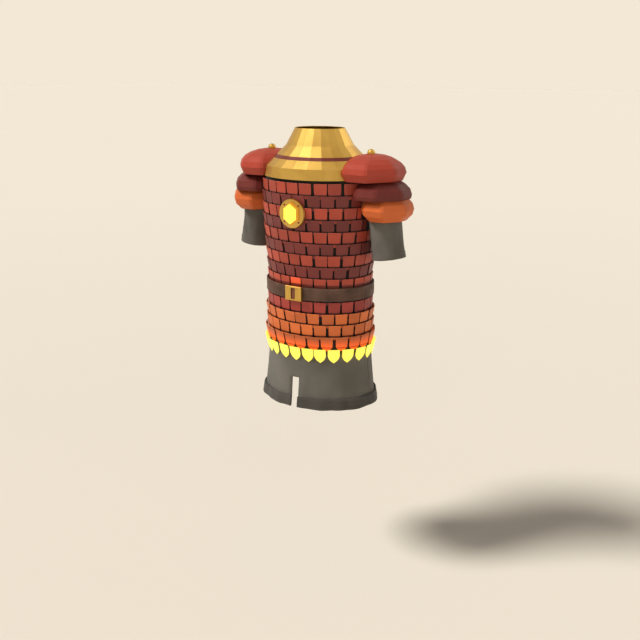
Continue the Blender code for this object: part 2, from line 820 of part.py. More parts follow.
def make_pauldrons():
    """Three lames and a knob on each shoulder."""
    body = body_envelope()
    rises = lame_rises()
    cap_top = LAMES[0][2] + CAP_RISE * math.sqrt(1 - CAP_FLAT**2)
    for side in (1, -1):
        rings = sleeve_rings(side, grow=2 * SEAT_GAP)
        inside = [(point[0] - side * ENVELOPE_IN, point[1], point[2]) for point in rings[0]]
        sleeve = closed_loft(f"sleeve_envelope_{'left' if side > 0 else 'right'}", [inside, *rings])
        for lame, rise in zip(LAMES, rises):
            make_lame(side, lame, rise, [body, sleeve])
        work = bmesh.new()
        around, upward = KNOB_FACETS
        bmesh.ops.create_uvsphere(work, u_segments=around, v_segments=upward, radius=KNOB_RADIUS)
        bmesh.ops.translate(work, vec=(side * KNOB_AT, 0, KNOB_HEIGHT), verts=work.verts)
        base = (0, 0, cap_top + SEAM_GAP)
        whole = [*work.verts, *work.edges, *work.faces]
        made = bmesh.ops.bisect_plane(work, geom=whole, plane_co=base, plane_no=(0, 0, 1), clear_inner=True)
        rim = [item for item in made["geom_cut"] if isinstance(item, bmesh.types.BMEdge)]
        bmesh.ops.contextual_create(work, geom=rim)
        name = f"knob_{'left' if side > 0 else 'right'}"
        bmesh.ops.recalc_face_normals(work, faces=work.faces)
        add_object(name, mesh_from_bmesh(name, work), "brass")


def make_armour():
    """Every piece of the armour."""
    make_panel("tunic_front", front=True)
    make_panel("tunic_back", front=False)
    make_hem_band()
    make_sleeve("sleeve_left", 1)
    make_sleeve("sleeve_right", -1)
    make_gorget()
    for row, (finish, flare, free) in enumerate(ROWS):
        make_row(row, finish, flare, free)
    make_belt()
    make_brooch()
    make_pauldrons()


clear_scene()
ARMOUR = new_collection("scale_armour")
CUTTERS = new_collection("cutters", hidden=True)
make_armour()
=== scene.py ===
"""Looks of the scale armour: woven tunic, lacquered scales, brass gorget, pauldrons, belt and brooch.

Metres, +Z up. The front faces -Y and +X is the garment's own left. The origin is on the middle
line at the height of the shoulders, so heights below it are negative.
"""

from __future__ import annotations

import logging
import math
from abc import ABC, abstractmethod
from dataclasses import dataclass, field
from enum import Enum
from functools import partial
from typing import Any, Callable, Sequence

import bmesh
import bpy
import numpy as np
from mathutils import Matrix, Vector


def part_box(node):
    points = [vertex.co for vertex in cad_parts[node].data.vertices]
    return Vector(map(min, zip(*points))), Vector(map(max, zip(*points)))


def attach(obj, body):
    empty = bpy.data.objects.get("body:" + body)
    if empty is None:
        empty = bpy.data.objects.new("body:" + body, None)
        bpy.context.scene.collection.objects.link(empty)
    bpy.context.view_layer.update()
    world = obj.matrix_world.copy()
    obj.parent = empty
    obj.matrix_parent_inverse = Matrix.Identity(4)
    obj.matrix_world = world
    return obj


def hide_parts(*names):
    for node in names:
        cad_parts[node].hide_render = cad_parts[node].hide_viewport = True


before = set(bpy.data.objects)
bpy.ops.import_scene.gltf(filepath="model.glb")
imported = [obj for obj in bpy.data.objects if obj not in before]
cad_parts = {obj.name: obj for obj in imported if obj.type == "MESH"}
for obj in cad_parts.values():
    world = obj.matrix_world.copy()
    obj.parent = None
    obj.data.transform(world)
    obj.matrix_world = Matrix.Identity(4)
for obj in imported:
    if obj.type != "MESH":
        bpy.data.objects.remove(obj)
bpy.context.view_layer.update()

log = logging.getLogger("scale_armour")

Point = tuple[float, float, float]
# From a share of the way round or a height to an angle, or back to the share.
Angles = Callable[[float], float]

# Most of a noise lies between these two values.
MOST = (0.3, 0.7)
BLACK = (0.0, 0.0, 0.0, 1.0)
# An edge of a strap is sharp from this angle on.
SHARP = math.radians(50)
# A line of sewing that goes all the way round has this many steps.
LINE_STEPS = 240
LINE = range(LINE_STEPS + 1)


class Side(Enum):
    """A side of the garment, as the sign of its X."""

    LEFT = 1
    RIGHT = -1

    @property
    def word(self) -> str:
        """The side's name in the names of the nodes."""
        return self.name.lower()


class Hold(Enum):
    """How a sheet of cloth is held."""

    HUNG = "hung"
    FOLDED = "folded"


class Outline(Enum):
    """The right half of a scale's outline, one unit wide and high, from its top corner to its tip."""

    SQUARE = ((0.500, 0.0), (0.497, -0.40), (0.476, -0.66), (0.405, -0.795), (0.235, -0.915), (0.0, -1.0))
    TONGUE = ((0.500, 0.0), (0.500, -0.40), (0.482, -0.51), (0.410, -0.66), (0.285, -0.81), (0.0, -1.0))


def linear(code: str) -> tuple[float, float, float, float]:
    """Turn a screen colour into the linear one that shaders read.

    Args:
        code: Six hexadecimal digits, without a mark before them.

    Returns:
        Red, green, blue and a full alpha.
    """
    found = []
    for place in (0, 2, 4):
        value = int(code[place : place + 2], 16) / 255
        found.append(value / 12.92 if value <= 0.04045 else ((value + 0.055) / 1.055) ** 2.4)
    return (*found, 1.0)


def smooth(share: float) -> float:
    """Ease a share between 0 and 1 at both ends."""
    share = min(max(share, 0.0), 1.0)
    return share * share * (3 - 2 * share)


class Graph:
    """A node tree, with one way to add nodes and to feed their sockets."""

    def __init__(self, tree: bpy.types.NodeTree) -> None:
        """Keep the tree that the nodes go in."""
        self.tree = tree

    def feed(self, socket: bpy.types.NodeSocket, value: Any) -> None:
        """Link a socket to another, or set it.

        Args:
            socket: The input that takes the value.
            value: An output to link from, or a plain value.
        """
        if isinstance(value, bpy.types.NodeSocket):
            self.tree.links.new(value, socket)
        else:
            socket.default_value = value

    def add(self, kind: str, sockets: dict[int | str, Any] | None = None, **settings: Any) -> bpy.types.Node:
        """Add a node.

        Args:
            kind: Blender's name for the type of node.
            sockets: What feeds each input, by name or by place.
            settings: The node's own settings.

        Returns:
            The new node.
        """
        node = self.tree.nodes.new(kind)
        for name, value in settings.items():
            setattr(node, name, value)
        for key, value in (sockets or {}).items():
            self.feed(node.inputs[key], value)
        return node


class Shading(Graph):
    """The nodes of one material round its Principled shader."""

    def __init__(self, name: str) -> None:
        """Make the material and find its shader.

        Args:
            name: The material's name.
        """
        self.material = bpy.data.materials.new(name)
        self.material.use_nodes = True
        super().__init__(self.material.node_tree)
        self.shader = self.tree.nodes["Principled BSDF"]

    def set(self, **inputs: Any) -> None:
        """Feed the shader's inputs, named with _ for a space."""
        for name, value in inputs.items():
            self.feed(self.shader.inputs[name.replace("_", " ")], value)

    def place(self) -> bpy.types.NodeSocket:
        """The position on the piece, in metres."""
        return self.add("ShaderNodeTexCoord").outputs["Object"]

    def cut(self) -> bpy.types.NodeSocket:
        """The position on the flat cut of a cloth, in metres."""
        return self.add("ShaderNodeUVMap", uv_map="cut").outputs["UV"]

    def attribute(self, name: str) -> bpy.types.NodeSocket:
        """A number stored on the mesh."""
        return self.add("ShaderNodeAttribute", attribute_name=name).outputs["Fac"]

    def noise(self, vector: bpy.types.NodeSocket, scale: float, detail: float = 3.0) -> bpy.types.NodeSocket:
        """Soft noise over a position.

        Args:
            vector: The position.
            scale: How many blotches lie on a metre, roughly.
            detail: How many finer layers it has.

        Returns:
            The noise, about one half in the middle.
        """
        sockets = {"Vector": vector, "Scale": scale, "Detail": detail}
        return self.add("ShaderNodeTexNoise", sockets).outputs[0]

    def spread(self, value: bpy.types.NodeSocket, ends: Sequence[float]) -> bpy.types.NodeSocket:
        """Stretch a value.

        Args:
            value: The value that is stretched.
            ends: From low, from high, to low, to high.

        Returns:
            The stretched value, kept between its ends.
        """
        sockets = dict(enumerate((value, *ends)))
        return self.add("ShaderNodeMapRange", sockets).outputs[0]

    def math(self, kind: str, first: Any, second: Any) -> bpy.types.NodeSocket:
        """One sum of two values."""
        return self.add("ShaderNodeMath", {0: first, 1: second}, operation=kind).outputs[0]

    def blend(self, share: Any, first: Any, second: Any, kind: str = "MIX") -> bpy.types.NodeSocket:
        """Mix two colours.

        Args:
            share: How much of the second.
            first: The first colour.
            second: The second colour.
            kind: Blender's name for the way to mix.

        Returns:
            The mixed colour.
        """
        sockets = {0: share, 6: first, 7: second}
        return self.add("ShaderNodeMix", sockets, data_type="RGBA", blend_type=kind).outputs[2]

    def tone(self, value: Any, ends: Sequence[float], first: str, second: str) -> bpy.types.NodeSocket:
        """Mix two screen colours by a value, stretched first."""
        return self.blend(self.spread(value, ends), linear(first), linear(second))

    def height(self) -> bpy.types.NodeSocket:
        """The height on the garment, in metres."""
        return self.add("ShaderNodeSeparateXYZ", {0: self.place()}).outputs[2]

    def bands(self, vector: bpy.types.NodeSocket, pitch: float, direction: str) -> bpy.types.NodeSocket:
        """Even bands across a direction, such as threads.

        Args:
            vector: The position.
            pitch: From one band to the next, in metres.
            direction: X, Y or DIAGONAL.

        Returns:
            The height of the bands, from 0 to 1.
        """
        # The wave texture turns through this many radians on each unit.
        turned = 20.0
        sockets = {"Vector": vector, "Scale": math.tau / turned / pitch}
        return self.add("ShaderNodeTexWave", sockets, bands_direction=direction).outputs[1]

    def relief(self, height: bpy.types.NodeSocket, strength: float, deep: float) -> None:
        """Give the shader a bumped normal.

        Args:
            height: The height, from 0 to 1.
            strength: How much of it shows.
            deep: How far the full height stands out, in metres.
        """
        sockets = {"Strength": strength, "Distance": deep, "Height": height}
        self.set(Normal=self.add("ShaderNodeBump", sockets).outputs[0])


@dataclass(frozen=True)
class Finish(ABC):
    """A finish of the armour, with the record's slot that it belongs to."""

    name: str
    slot: str
    colour: str

    def material(self) -> bpy.types.Material:
        """The finish as a material, made once.

        Returns:
            The material.
        """
        made = bpy.data.materials.get(self.name)
        if made is None:
            shading = Shading(self.name)
            self.paint(shading)
            made = shading.material
        return made

    @abstractmethod
    def paint(self, shading: Shading) -> None:
        """Build the finish's nodes.

        Args:
            shading: The nodes of the material.
        """


@dataclass(frozen=True)
class WovenCloth(Finish):
    """Heavy woven wool: matt and a little hairy, with its threads on the flat cut."""

    dark: str
    # A real thread is about 1.2 mm thick. It is drawn at 1.7 mm, because a finer one doesn't show.
    thread: float = 0.0017
    # Painted shade: above this height the cloth turns nearly black, so that the gaps between the scales look
    # dark.
    unfaded_from: float = 1.0
    unfaded: str = "14110f"
    unfaded_edge: float = 0.012
    # Slubs lie about 5 mm apart and worn places about 140 mm, given as a number on a metre.
    slubs: float = 210.0
    worn_places: float = 7.0

    def paint(self, shading: Shading) -> None:
        """Weave, slubs, soft wear, a little sheen, and painted shade, nearly black, where scales cover the
        cloth.

        Args:
            shading: The nodes of the material.
        """
        cut = shading.cut()
        warp = shading.bands(cut, self.thread, "X")
        weft = shading.bands(cut, self.thread, "Y")
        weave = shading.math("MAXIMUM", warp, weft)
        slub = shading.noise(cut, self.slubs, detail=2.0)
        worn = shading.noise(shading.place(), self.worn_places, detail=4.0)
        colour = shading.tone(worn, (*MOST, 0.0, 0.55), self.colour, self.dark)
        pits = shading.spread(shading.math("MULTIPLY", weave, slub), (0.1, 0.5, 0.24, 0.0))
        colour = shading.blend(pits, colour, linear(self.dark))
        # Painted shade where the scales cover the cloth.
        gap_shaded = (self.unfaded_from - self.unfaded_edge, self.unfaded_from, 0.0, 0.9)
        colour = shading.blend(shading.spread(shading.height(), gap_shaded), colour, linear(self.unfaded))
        shading.set(Base_Color=colour, Roughness=0.92, Sheen_Weight=0.18, Sheen_Roughness=0.5)
        shading.set(Specular_IOR_Level=0.25)
        shading.relief(shading.math("ADD", weave, slub), strength=0.45, deep=0.0004)


@dataclass(frozen=True)
class Lacquer(Finish):
    """Brushed satin lacquer on steel: each plate has its own shade, and its edges are rubbed."""

    deep: str
    rubbed: str
    roughness: float = 0.46
    shine: float = 0.42
    # The colour of the painted shade.
    grime: str = "26130f"
    # Painted shade, a dark line where one row meets the next: it sets in and ends at these shares of a
    # scale's height.
    grime_from: tuple[float, float] = (0.68, 0.71)
    grime_to: tuple[float, float] = (0.79, 0.82)
    # The colour of the painted glow.
    hot: str = "ff5a1e"
    # A painted glow, as of the lowest row's light on this one, grows from the first of these heights down to
    # the second.
    heat: float = 0.0
    heat_heights: tuple[float, float] = (0.0, 0.0)
    # Painted shade just above the belt: the lacquer darkens from the first of these heights down to the
    # second.
    soiled: tuple[float, float] | None = None
    # Clouds about 40 mm wide, scuffs about 4 mm and brush marks about 3 mm, as a number on a metre.
    clouds: float = 26.0
    scuffs: float = 240.0
    brush_marks: float = 330.0

    def paint(self, shading: Shading) -> None:
        """Shade by plate, clouding, rubbed edges, painted shade at the overlap and above the belt, brush
        marks and a painted glow where asked.

        Args:
            shading: The nodes of the material.
        """
        place = shading.place()
        cloud = shading.noise(place, self.clouds, detail=4.0)
        clouding = shading.spread(cloud, (*MOST, -0.18, 0.18))
        shade = shading.math("ADD", shading.attribute("shade"), clouding)
        colour = shading.tone(shade, (0.0, 1.0, 0.0, 1.0), self.colour, self.deep)
        scuff = shading.spread(shading.noise(place, self.scuffs), (0.45, 0.7, 0.0, 0.8))
        worn = shading.math("MULTIPLY", shading.attribute("edge"), scuff)
        colour = shading.blend(worn, colour, linear(self.rubbed))
        # Painted shade: a dark line just above where the next row's edge lies.
        drop = shading.attribute("drop")
        above = shading.spread(drop, (*self.grime_from, 0.0, 0.95))
        below = shading.spread(drop, (*self.grime_to, 0.0, 0.95))
        colour = shading.blend(shading.math("SUBTRACT", above, below), colour, linear(self.grime))
        height = shading.height()
        # Painted shade just above the belt.
        if self.soiled is not None:
            belt_shade = shading.spread(height, (*self.soiled, 0.0, 0.85))
            colour = shading.blend(belt_shade, colour, linear(self.grime))
        shading.set(Base_Color=colour, Metallic=0.0, Specular_IOR_Level=self.shine)
        rough = shading.spread(cloud, (*MOST, self.roughness - 0.05, self.roughness + 0.08))
        shading.set(Roughness=rough)
        shading.relief(shading.noise(place, self.brush_marks, detail=2.0), strength=0.10, deep=0.0003)
        if self.heat > 0.0:
            glow = shading.spread(height, (*self.heat_heights, 0.0, self.heat))
        else:
            glow = shading.attribute("glow")
        # The painted glow fades in the painted shade above the belt.
        if self.soiled is not None:
            unshaded = shading.spread(height, (*self.soiled, 1.0, 0.1))
            glow = shading.math("MULTIPLY", glow, unshaded)
        shading.set(Emission_Color=linear(self.hot), Emission_Strength=glow)


@dataclass(frozen=True)
class Brass(Finish):
    """Polished sheet brass: a warm mirror, softened by faint tarnish and fine scratches."""

    tarnish: str
    roughness: float = 0.36
    # Tarnish in clouds about 70 mm wide, hammer marks about 18 mm, as a number on a metre. Real
    # scratches are finer than 1 mm; these are about 3 mm apart, so that they show.
    clouds: float = 14.0
    hammering: float = 55.0
    scratches: float = 300.0

    def paint(self, shading: Shading) -> None:
        """Metal with clouds of tarnish, scratches and a faint hammering.

        Args:
            shading: The nodes of the material.
        """
        place = shading.place()
        cloud = shading.noise(place, self.clouds, detail=5.0)
        colour = shading.tone(cloud, (0.42, 0.72, 0.0, 0.5), self.colour, self.tarnish)
        drawn = shading.add("ShaderNodeMapping", {"Vector": place, "Scale": (0.25, 0.25, 3.0)}).outputs[0]
        scratch = shading.noise(drawn, self.scratches)
        shading.set(Base_Color=colour, Metallic=1.0)
        rough = shading.spread(scratch, (*MOST, self.roughness - 0.05, self.roughness + 0.10))
        shading.set(Roughness=rough)
        hammer = shading.noise(place, self.hammering, detail=1.0)
        shading.relief(shading.math("ADD", hammer, scratch), strength=0.035, deep=0.0006)


@dataclass(frozen=True)
class Leather(Finish):
    """Smooth tanned leather: a soft shine, broken by a fine grain."""

    deep: str
    # The grain's pebbles are about 1.6 mm wide and worn clouds about 45 mm, as a number on a metre.
    pebbles: float = 620.0
    clouds: float = 22.0

    def paint(self, shading: Shading) -> None:
        """Pebbled grain, darker pores and worn clouds.

        Args:
            shading: The nodes of the material.
        """
        place = shading.place()
        sockets = {"Vector": place, "Scale": self.pebbles}
        grain = shading.add("ShaderNodeTexVoronoi", sockets).outputs["Distance"]
        cloud = shading.noise(place, self.clouds, detail=4.0)
        colour = shading.tone(cloud, (0.35, 0.7, 0.0, 0.7), self.colour, self.deep)
        colour = shading.blend(shading.spread(grain, (0.0, 0.35, 0.35, 0.0)), colour, linear(self.deep))
        shading.set(Base_Color=colour, Specular_IOR_Level=0.35)
        shading.set(Roughness=shading.spread(cloud, (*MOST, 0.52, 0.68)))
        shading.relief(grain, strength=0.22, deep=0.0004)


@dataclass(frozen=True)
class Ember(Finish):
    """A glowing enamel or glass, as on the lowest scales and the gem."""

    core: str
    strength: float
    roughness: float = 0.35
    # Clouds of the warmer colour are about 22 mm wide, as a number on a metre.
    clouds: float = 45.0
    # How much of the glow's colour is taken out of the skin, so that lamps don't wash it out.
    skin_dark: float = 0.75

    def paint(self, shading: Shading) -> None:
        """A glow with faint clouds of a warmer colour over a satin skin.

        Args:
            shading: The nodes of the material.
        """
        place = shading.place()
        cloud = shading.noise(place, self.clouds)
        glow = shading.tone(cloud, (0.45, 0.8, 0.0, 0.35), self.core, self.colour)
        shading.set(Base_Color=shading.blend(self.skin_dark, glow, BLACK), Roughness=self.roughness)
        shading.set(Emission_Color=glow, Emission_Strength=self.strength)


@dataclass(frozen=True)
class Floor(Finish):
    """The plain pale floor, a little paler far away."""

    far: str
    fade: tuple[float, float] = (2.5, 9.0)

    def paint(self, shading: Shading) -> None:
        """A matt colour with hardly any change.

        Args:
            shading: The nodes of the material.
        """
        place = shading.place()
        reach = shading.add("ShaderNodeVectorMath", {0: place}, operation="LENGTH").outputs["Value"]
        colour = shading.tone(reach, (*self.fade, 0.0, 1.0), self.colour, self.far)
        shading.set(Base_Color=colour, Roughness=0.9, Specular_IOR_Level=0.1)


# Fulled wool, woven in a plain weave: it takes light softly and never shines.
WOOL = WovenCloth("tunic wool", "cloth", "6f695f", "423e38", unfaded_from=-0.590)
SLEEVE_WOOL = WovenCloth("sleeve wool", "cloth", "6b655c", "403c36")
BAND_WOOL = WovenCloth("band wool", "hem", "524d46", "2f2b27", 0.0014)
THREAD = WovenCloth("sewing thread", "cloth", "7b7468", "4c473f", 0.0006)
# Bridle leather, waxed: a dull shine on the worn places. Waxed linen looks much the same.
LEATHER = Leather("belt leather", "leather", "5f4233", "3b281e")
TONGUE_LEATHER = Leather("tongue leather", "leather", "7a4630", "4e2b1d")
WAXED_THREAD = Leather("waxed thread", "leather", "7d6350", "5a4536")
# Polished brass: each flat facet mirrors one tone.
BRASS = Brass("gorget brass", "brass", "dcb25c", "b98c42")
# Lacquer, brushed on steel: satin, with flat and even colour on each plate.
ENAMEL = Lacquer("inlay enamel", "inlay", "6a241c", "4d1a15", "7c3a2e", 0.42)
RED = Lacquer("brick red lacquer", "red", "b5452f", "983a29", "c9705a")
# The brick red, with painted shade just above the belt.
BELT_RED = Lacquer(
    "brick red lacquer behind the belt",
    "red",
    "b5452f",
    "983a29",
    "c9705a",
    grime="551e15",
    soiled=(-0.3640, -0.3660),
)
MAROON = Lacquer("maroon lacquer", "maroon", "7c2f29", "682722", "91554a")
CRIMSON = Lacquer("crimson lacquer", "crimson", "a83b30", "8e322a", "bf6658")
AMBER = Lacquer("amber lacquer", "amber", "dd6e30", "bd5b2a", "e39a64")
# Painted glow: the lower edge of this row brightens as if lit by the glowing row below.
EMBER_RED = Lacquer(
    "ember lacquer",
    "ember",
    "c4612f",
    "a8532b",
    "e08a50",
    hot="ff5210",
    heat=0.78,
    heat_heights=(-0.538, -0.575),
)
CAP_RED = Lacquer("cap red lacquer", "red", "a63c29", "8c3324", "bd6450", 0.5, 0.34)
LAME_MAROON = Lacquer("lame maroon lacquer", "maroon", "67261f", "56201b", "84483e", 0.5, 0.30)
LAME_AMBER = Lacquer("lame amber lacquer", "amber", "cb622c", "b05327", "dc8a58", 0.5, 0.34)
# Glowing lacquer and glass: bright and nearly without shade.
FLAME = Ember("flame lacquer", "flame", "ffc845", "fff05c", 1.0)
GEM_FACE = Ember("gem table", "gem", "ffd83a", "fff650", 1.2, 0.12)
GEM_SIDE = Ember("gem sides", "gem", "e08a1c", "f3a52a", 0.62, 0.12)
PALE_FLOOR = Floor("pale floor", "none", "eee3d1", "f2e8d6")


def link(name: str, data: bpy.types.ID) -> bpy.types.Object:
    """Put a mesh, lamp or camera in the scene as an object.

    Args:
        name: The object's name.
        data: The mesh, lamp or camera.

    Returns:
        The object.
    """
    piece = bpy.data.objects.new(name, data)
    bpy.context.scene.collection.objects.link(piece)
    return piece


def new_piece(
    name: str, mesh: bpy.types.Mesh, finish: Finish, nodes: Sequence[str] = ()
) -> bpy.types.Object:
    """Put a finished mesh in the scene, on the garment's one body.

    Args:
        name: The piece's name.
        mesh: Its mesh, with its place in it.
        finish: Its finish, which names its slot.
        nodes: The nodes that it stands for.

    Returns:
        The piece.
    """
    if not mesh.materials:
        mesh.materials.append(finish.material())
    piece = link(name, mesh)
    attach(piece, "root")
    if nodes:
        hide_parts(*nodes)
    log.info("%s: %d faces", name, len(mesh.polygons))
    return piece


def dress(node: str, finish: Finish) -> None:
    """Give a node of the frame its finish.

    Args:
        node: The node's name.
        finish: Its finish.
    """
    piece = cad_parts[node]
    piece.data.materials.clear()
    piece.data.materials.append(finish.material())
    log.info("%s: %s", node, finish.name)


def store(mesh: bpy.types.Mesh, name: str, numbers: Sequence[float]) -> None:
    """Store a number on each point of a mesh."""
    mesh.attributes.new(name, "FLOAT", "POINT").data.foreach_set("value", numbers)


def add_wall(piece: bpy.types.Object, wall: float) -> None:
    """Give a sheet its wall, on the inside.

    Args:
        piece: The sheet.
        wall: How thick the wall is.
    """
    modifier = piece.modifiers.new("Wall", "SOLIDIFY")
    modifier.thickness = wall
    modifier.offset = -1.0


def loft(
    name: str,
    rows: Sequence[Sequence[Point]],
    closed: bool = False,
    skip: Callable[[int, int], bool] | None = None,
) -> bpy.types.Mesh:
    """Make a sheet through rows of points, with a UV map in metres on its flat cut.

    Args:
        name: The mesh's name.
        rows: Rows of equally many points, each row the next one along the cloth.
        closed: Whether each row closes on itself.
        skip: Tells which cell, by row and column, is left out.

    Returns:
        The mesh, with smooth shading.
    """
    count = len(rows[0])
    steps = count if closed else count - 1
    grid = np.array(rows, dtype=float)
    following = np.roll(grid, -1, axis=1) - grid
    lengths = np.cumsum(np.linalg.norm(following, axis=2), axis=1)
    across = np.concatenate([np.zeros((len(rows), 1)), lengths], axis=1)
    across -= across[:, steps // 2 : steps // 2 + 1]
    upward = np.linalg.norm(np.diff(grid, axis=0), axis=2).mean(axis=1)
    along = np.concatenate([[0.0], np.cumsum(upward)])
    faces, corners = [], []
    for row in range(len(rows) - 1):
        for column in range(steps):
            if skip and skip(row, column):
                continue
            after = (column + 1) % count
            low, high = row * count, (row + 1) * count
            faces.append((low + column, low + after, high + after, high + column))
            cell = ((row, column), (row, column + 1), (row + 1, column + 1), (row + 1, column))
            corners += [(across[at], along[at[0]]) for at in cell]
    mesh = bpy.data.meshes.new(name)
    mesh.from_pydata([tuple(point) for row in rows for point in row], [], faces)
    layer = mesh.uv_layers.new(name="cut")
    layer.data.foreach_set("uv", [value for corner in corners for value in corner])
    work = bmesh.new()
    work.from_mesh(mesh)
    loose = [vert for vert in work.verts if not vert.link_faces]
    bmesh.ops.delete(work, geom=loose, context="VERTS")
    work.to_mesh(mesh)
    work.free()
    mesh.shade_smooth()
    return mesh


def outward(mesh: bpy.types.Mesh) -> bpy.types.Mesh:
    """Turn a mesh's faces outward.

    Args:
        mesh: A closed mesh or a tube.

    Returns:
        The same mesh.
    """
    work = bmesh.new()
    work.from_mesh(mesh)
    bmesh.ops.recalc_face_normals(work, faces=work.faces)
    work.to_mesh(mesh)
    work.free()
    return mesh


def stacked_mesh(name: str, rings: Sequence[Sequence[Point]]) -> bpy.types.Mesh:
    """Make a closed solid through stacked rings, flat shaded.

    Args:
        name: The mesh's name.
        rings: Rings of equally many points, from one end to the other.

    Returns:
        The mesh, with outward faces.
    """
    count = len(rings[0])
    last = (len(rings) - 1) * count
    faces = [tuple(range(count)), tuple(range(last, last + count))]
    for low in range(0, last, count):
        high = low + count
        for i in range(count):
            after = (i + 1) % count
            faces.append((low + i, high + i, high + after, low + after))
    mesh = bpy.data.meshes.new(name)
    mesh.from_pydata([point for ring in rings for point in ring], [], faces)
    outward(mesh)
    mesh.shade_flat()
    return mesh


def round_walk(half_width: float, half_depth: float, steps: int) -> tuple[np.ndarray, np.ndarray]:
    """Angles round an ellipse, and how far it is to each along its edge.

    Args:
        half_width: Half its width.
        half_depth: Half its depth.
        steps: How many steps go round it.

    Returns:
        The angles and the lengths.
    """
    angles = np.linspace(0.0, math.tau, steps + 1)
    step = np.hypot(np.diff(half_width * np.cos(angles)), np.diff(half_depth * np.sin(angles)))
    return angles, np.concatenate([[0.0], np.cumsum(step)])


def strap_mesh(name: str, rings: Sequence[Sequence[Point]], closed: bool) -> bpy.types.Mesh:
    """Make a solid strap through its cross-sections.

    Args:
        name: The mesh's name.
        rings: The cross-sections along the strap, each a closed loop of points.
        closed: Whether the strap closes on itself; if not, its ends are capped.

    Returns:
        The mesh, with outward faces, smooth but for its sharp corners.
    """
    courses = [*rings, rings[0]] if closed else list(rings)
    mesh = loft(name, courses, closed=True)
    work = bmesh.new()
    work.from_mesh(mesh)
    if closed:
        bmesh.ops.remove_doubles(work, verts=work.verts, dist=1e-6)
    else:
        rim = [edge for edge in work.edges if edge.is_boundary]
        bmesh.ops.holes_fill(work, edges=rim, sides=0)
    bmesh.ops.recalc_face_normals(work, faces=work.faces)
    work.to_mesh(mesh)
    work.free()
    mesh.set_sharp_from_angle(angle=SHARP)
    return mesh


class Grower(Graph):
    """A Geometry Nodes tree with named inputs, used to grow a piece from a plain mesh of places."""

    def __init__(self, name: str, inputs: dict[str, str]) -> None:
        """Make the tree.

        Args:
            name: The tree's name.
            inputs: The type of socket of each named input.
        """
        super().__init__(bpy.data.node_groups.new(name, "GeometryNodeTree"))
        face = self.tree.interface
        face.new_socket(name="Geometry", in_out="INPUT", socket_type="NodeSocketGeometry")
        self.keys = {
            label: face.new_socket(name=label, in_out="INPUT", socket_type=kind).identifier
            for label, kind in inputs.items()
        }
        face.new_socket(name="Geometry", in_out="OUTPUT", socket_type="NodeSocketGeometry")
        self.given = self.tree.nodes.new("NodeGroupInput").outputs

    def finish(self, instances: bpy.types.NodeSocket) -> None:
        """End the tree: make the instances real and set their material.

        Args:
            instances: What the tree has placed.
        """
        real = self.add("GeometryNodeRealizeInstances", {0: instances}).outputs[0]
        painted = self.add("GeometryNodeSetMaterial", {"Geometry": real, "Material": self.given["Finish"]})
        self.add("NodeGroupOutput", {0: painted.outputs[0]})

    def grow(self, name: str, places: bpy.types.Mesh, values: dict[str, Any]) -> bpy.types.Mesh:
        """Grow a mesh from a mesh of places.

        Args:
            name: The new mesh's name.
            places: The mesh of places.
            values: What each named input gets.

        Returns:
            The plain mesh.
        """
        holder = link("places", places)
        modifier = holder.modifiers.new("Grow", "NODES")
        modifier.node_group = self.tree
        for label, value in values.items():
            modifier[self.keys[label]] = value
        graph = bpy.context.evaluated_depsgraph_get()
        mesh = bpy.data.meshes.new_from_object(holder.evaluated_get(graph), depsgraph=graph)
        mesh.name = name
        holder.modifiers.remove(modifier)
        bpy.data.objects.remove(holder, do_unlink=True)
        return mesh


class StitchGrower(Grower):
    """Grows a run of stitches along a line."""

    def __init__(self) -> None:
        """Build the tree: even points on the line, each with a small thread that lies along it."""
        sizes = {"Spacing": "NodeSocketFloat", "Length": "NodeSocketFloat", "Thickness": "NodeSocketFloat"}
        super().__init__("Stitches along a line", {**sizes, "Finish": "NodeSocketMaterial"})
        line = self.add("GeometryNodeMeshToCurve", {0: self.given["Geometry"]}).outputs[0]
        sockets = {"Curve": line, "Length": self.given["Spacing"]}
        even = self.add("GeometryNodeResampleCurve", sockets, mode="LENGTH")
        thread = self.add("GeometryNodeMeshUVSphere", {"Segments": 6, "Rings": 4, "Radius": 0.5}).outputs[0]
        tangent = self.add("GeometryNodeInputTangent").outputs[0]
        turned = self.add("FunctionNodeAlignRotationToVector", {"Vector": tangent}, axis="X").outputs[0]
        thick = self.given["Thickness"]
        size = self.add("ShaderNodeCombineXYZ", {0: self.given["Length"], 1: thick, 2: thick}).outputs[0]
        sockets = {"Points": even.outputs[0], "Instance": thread, "Rotation": turned, "Scale": size}
        self.finish(self.add("GeometryNodeInstanceOnPoints", sockets).outputs[0])


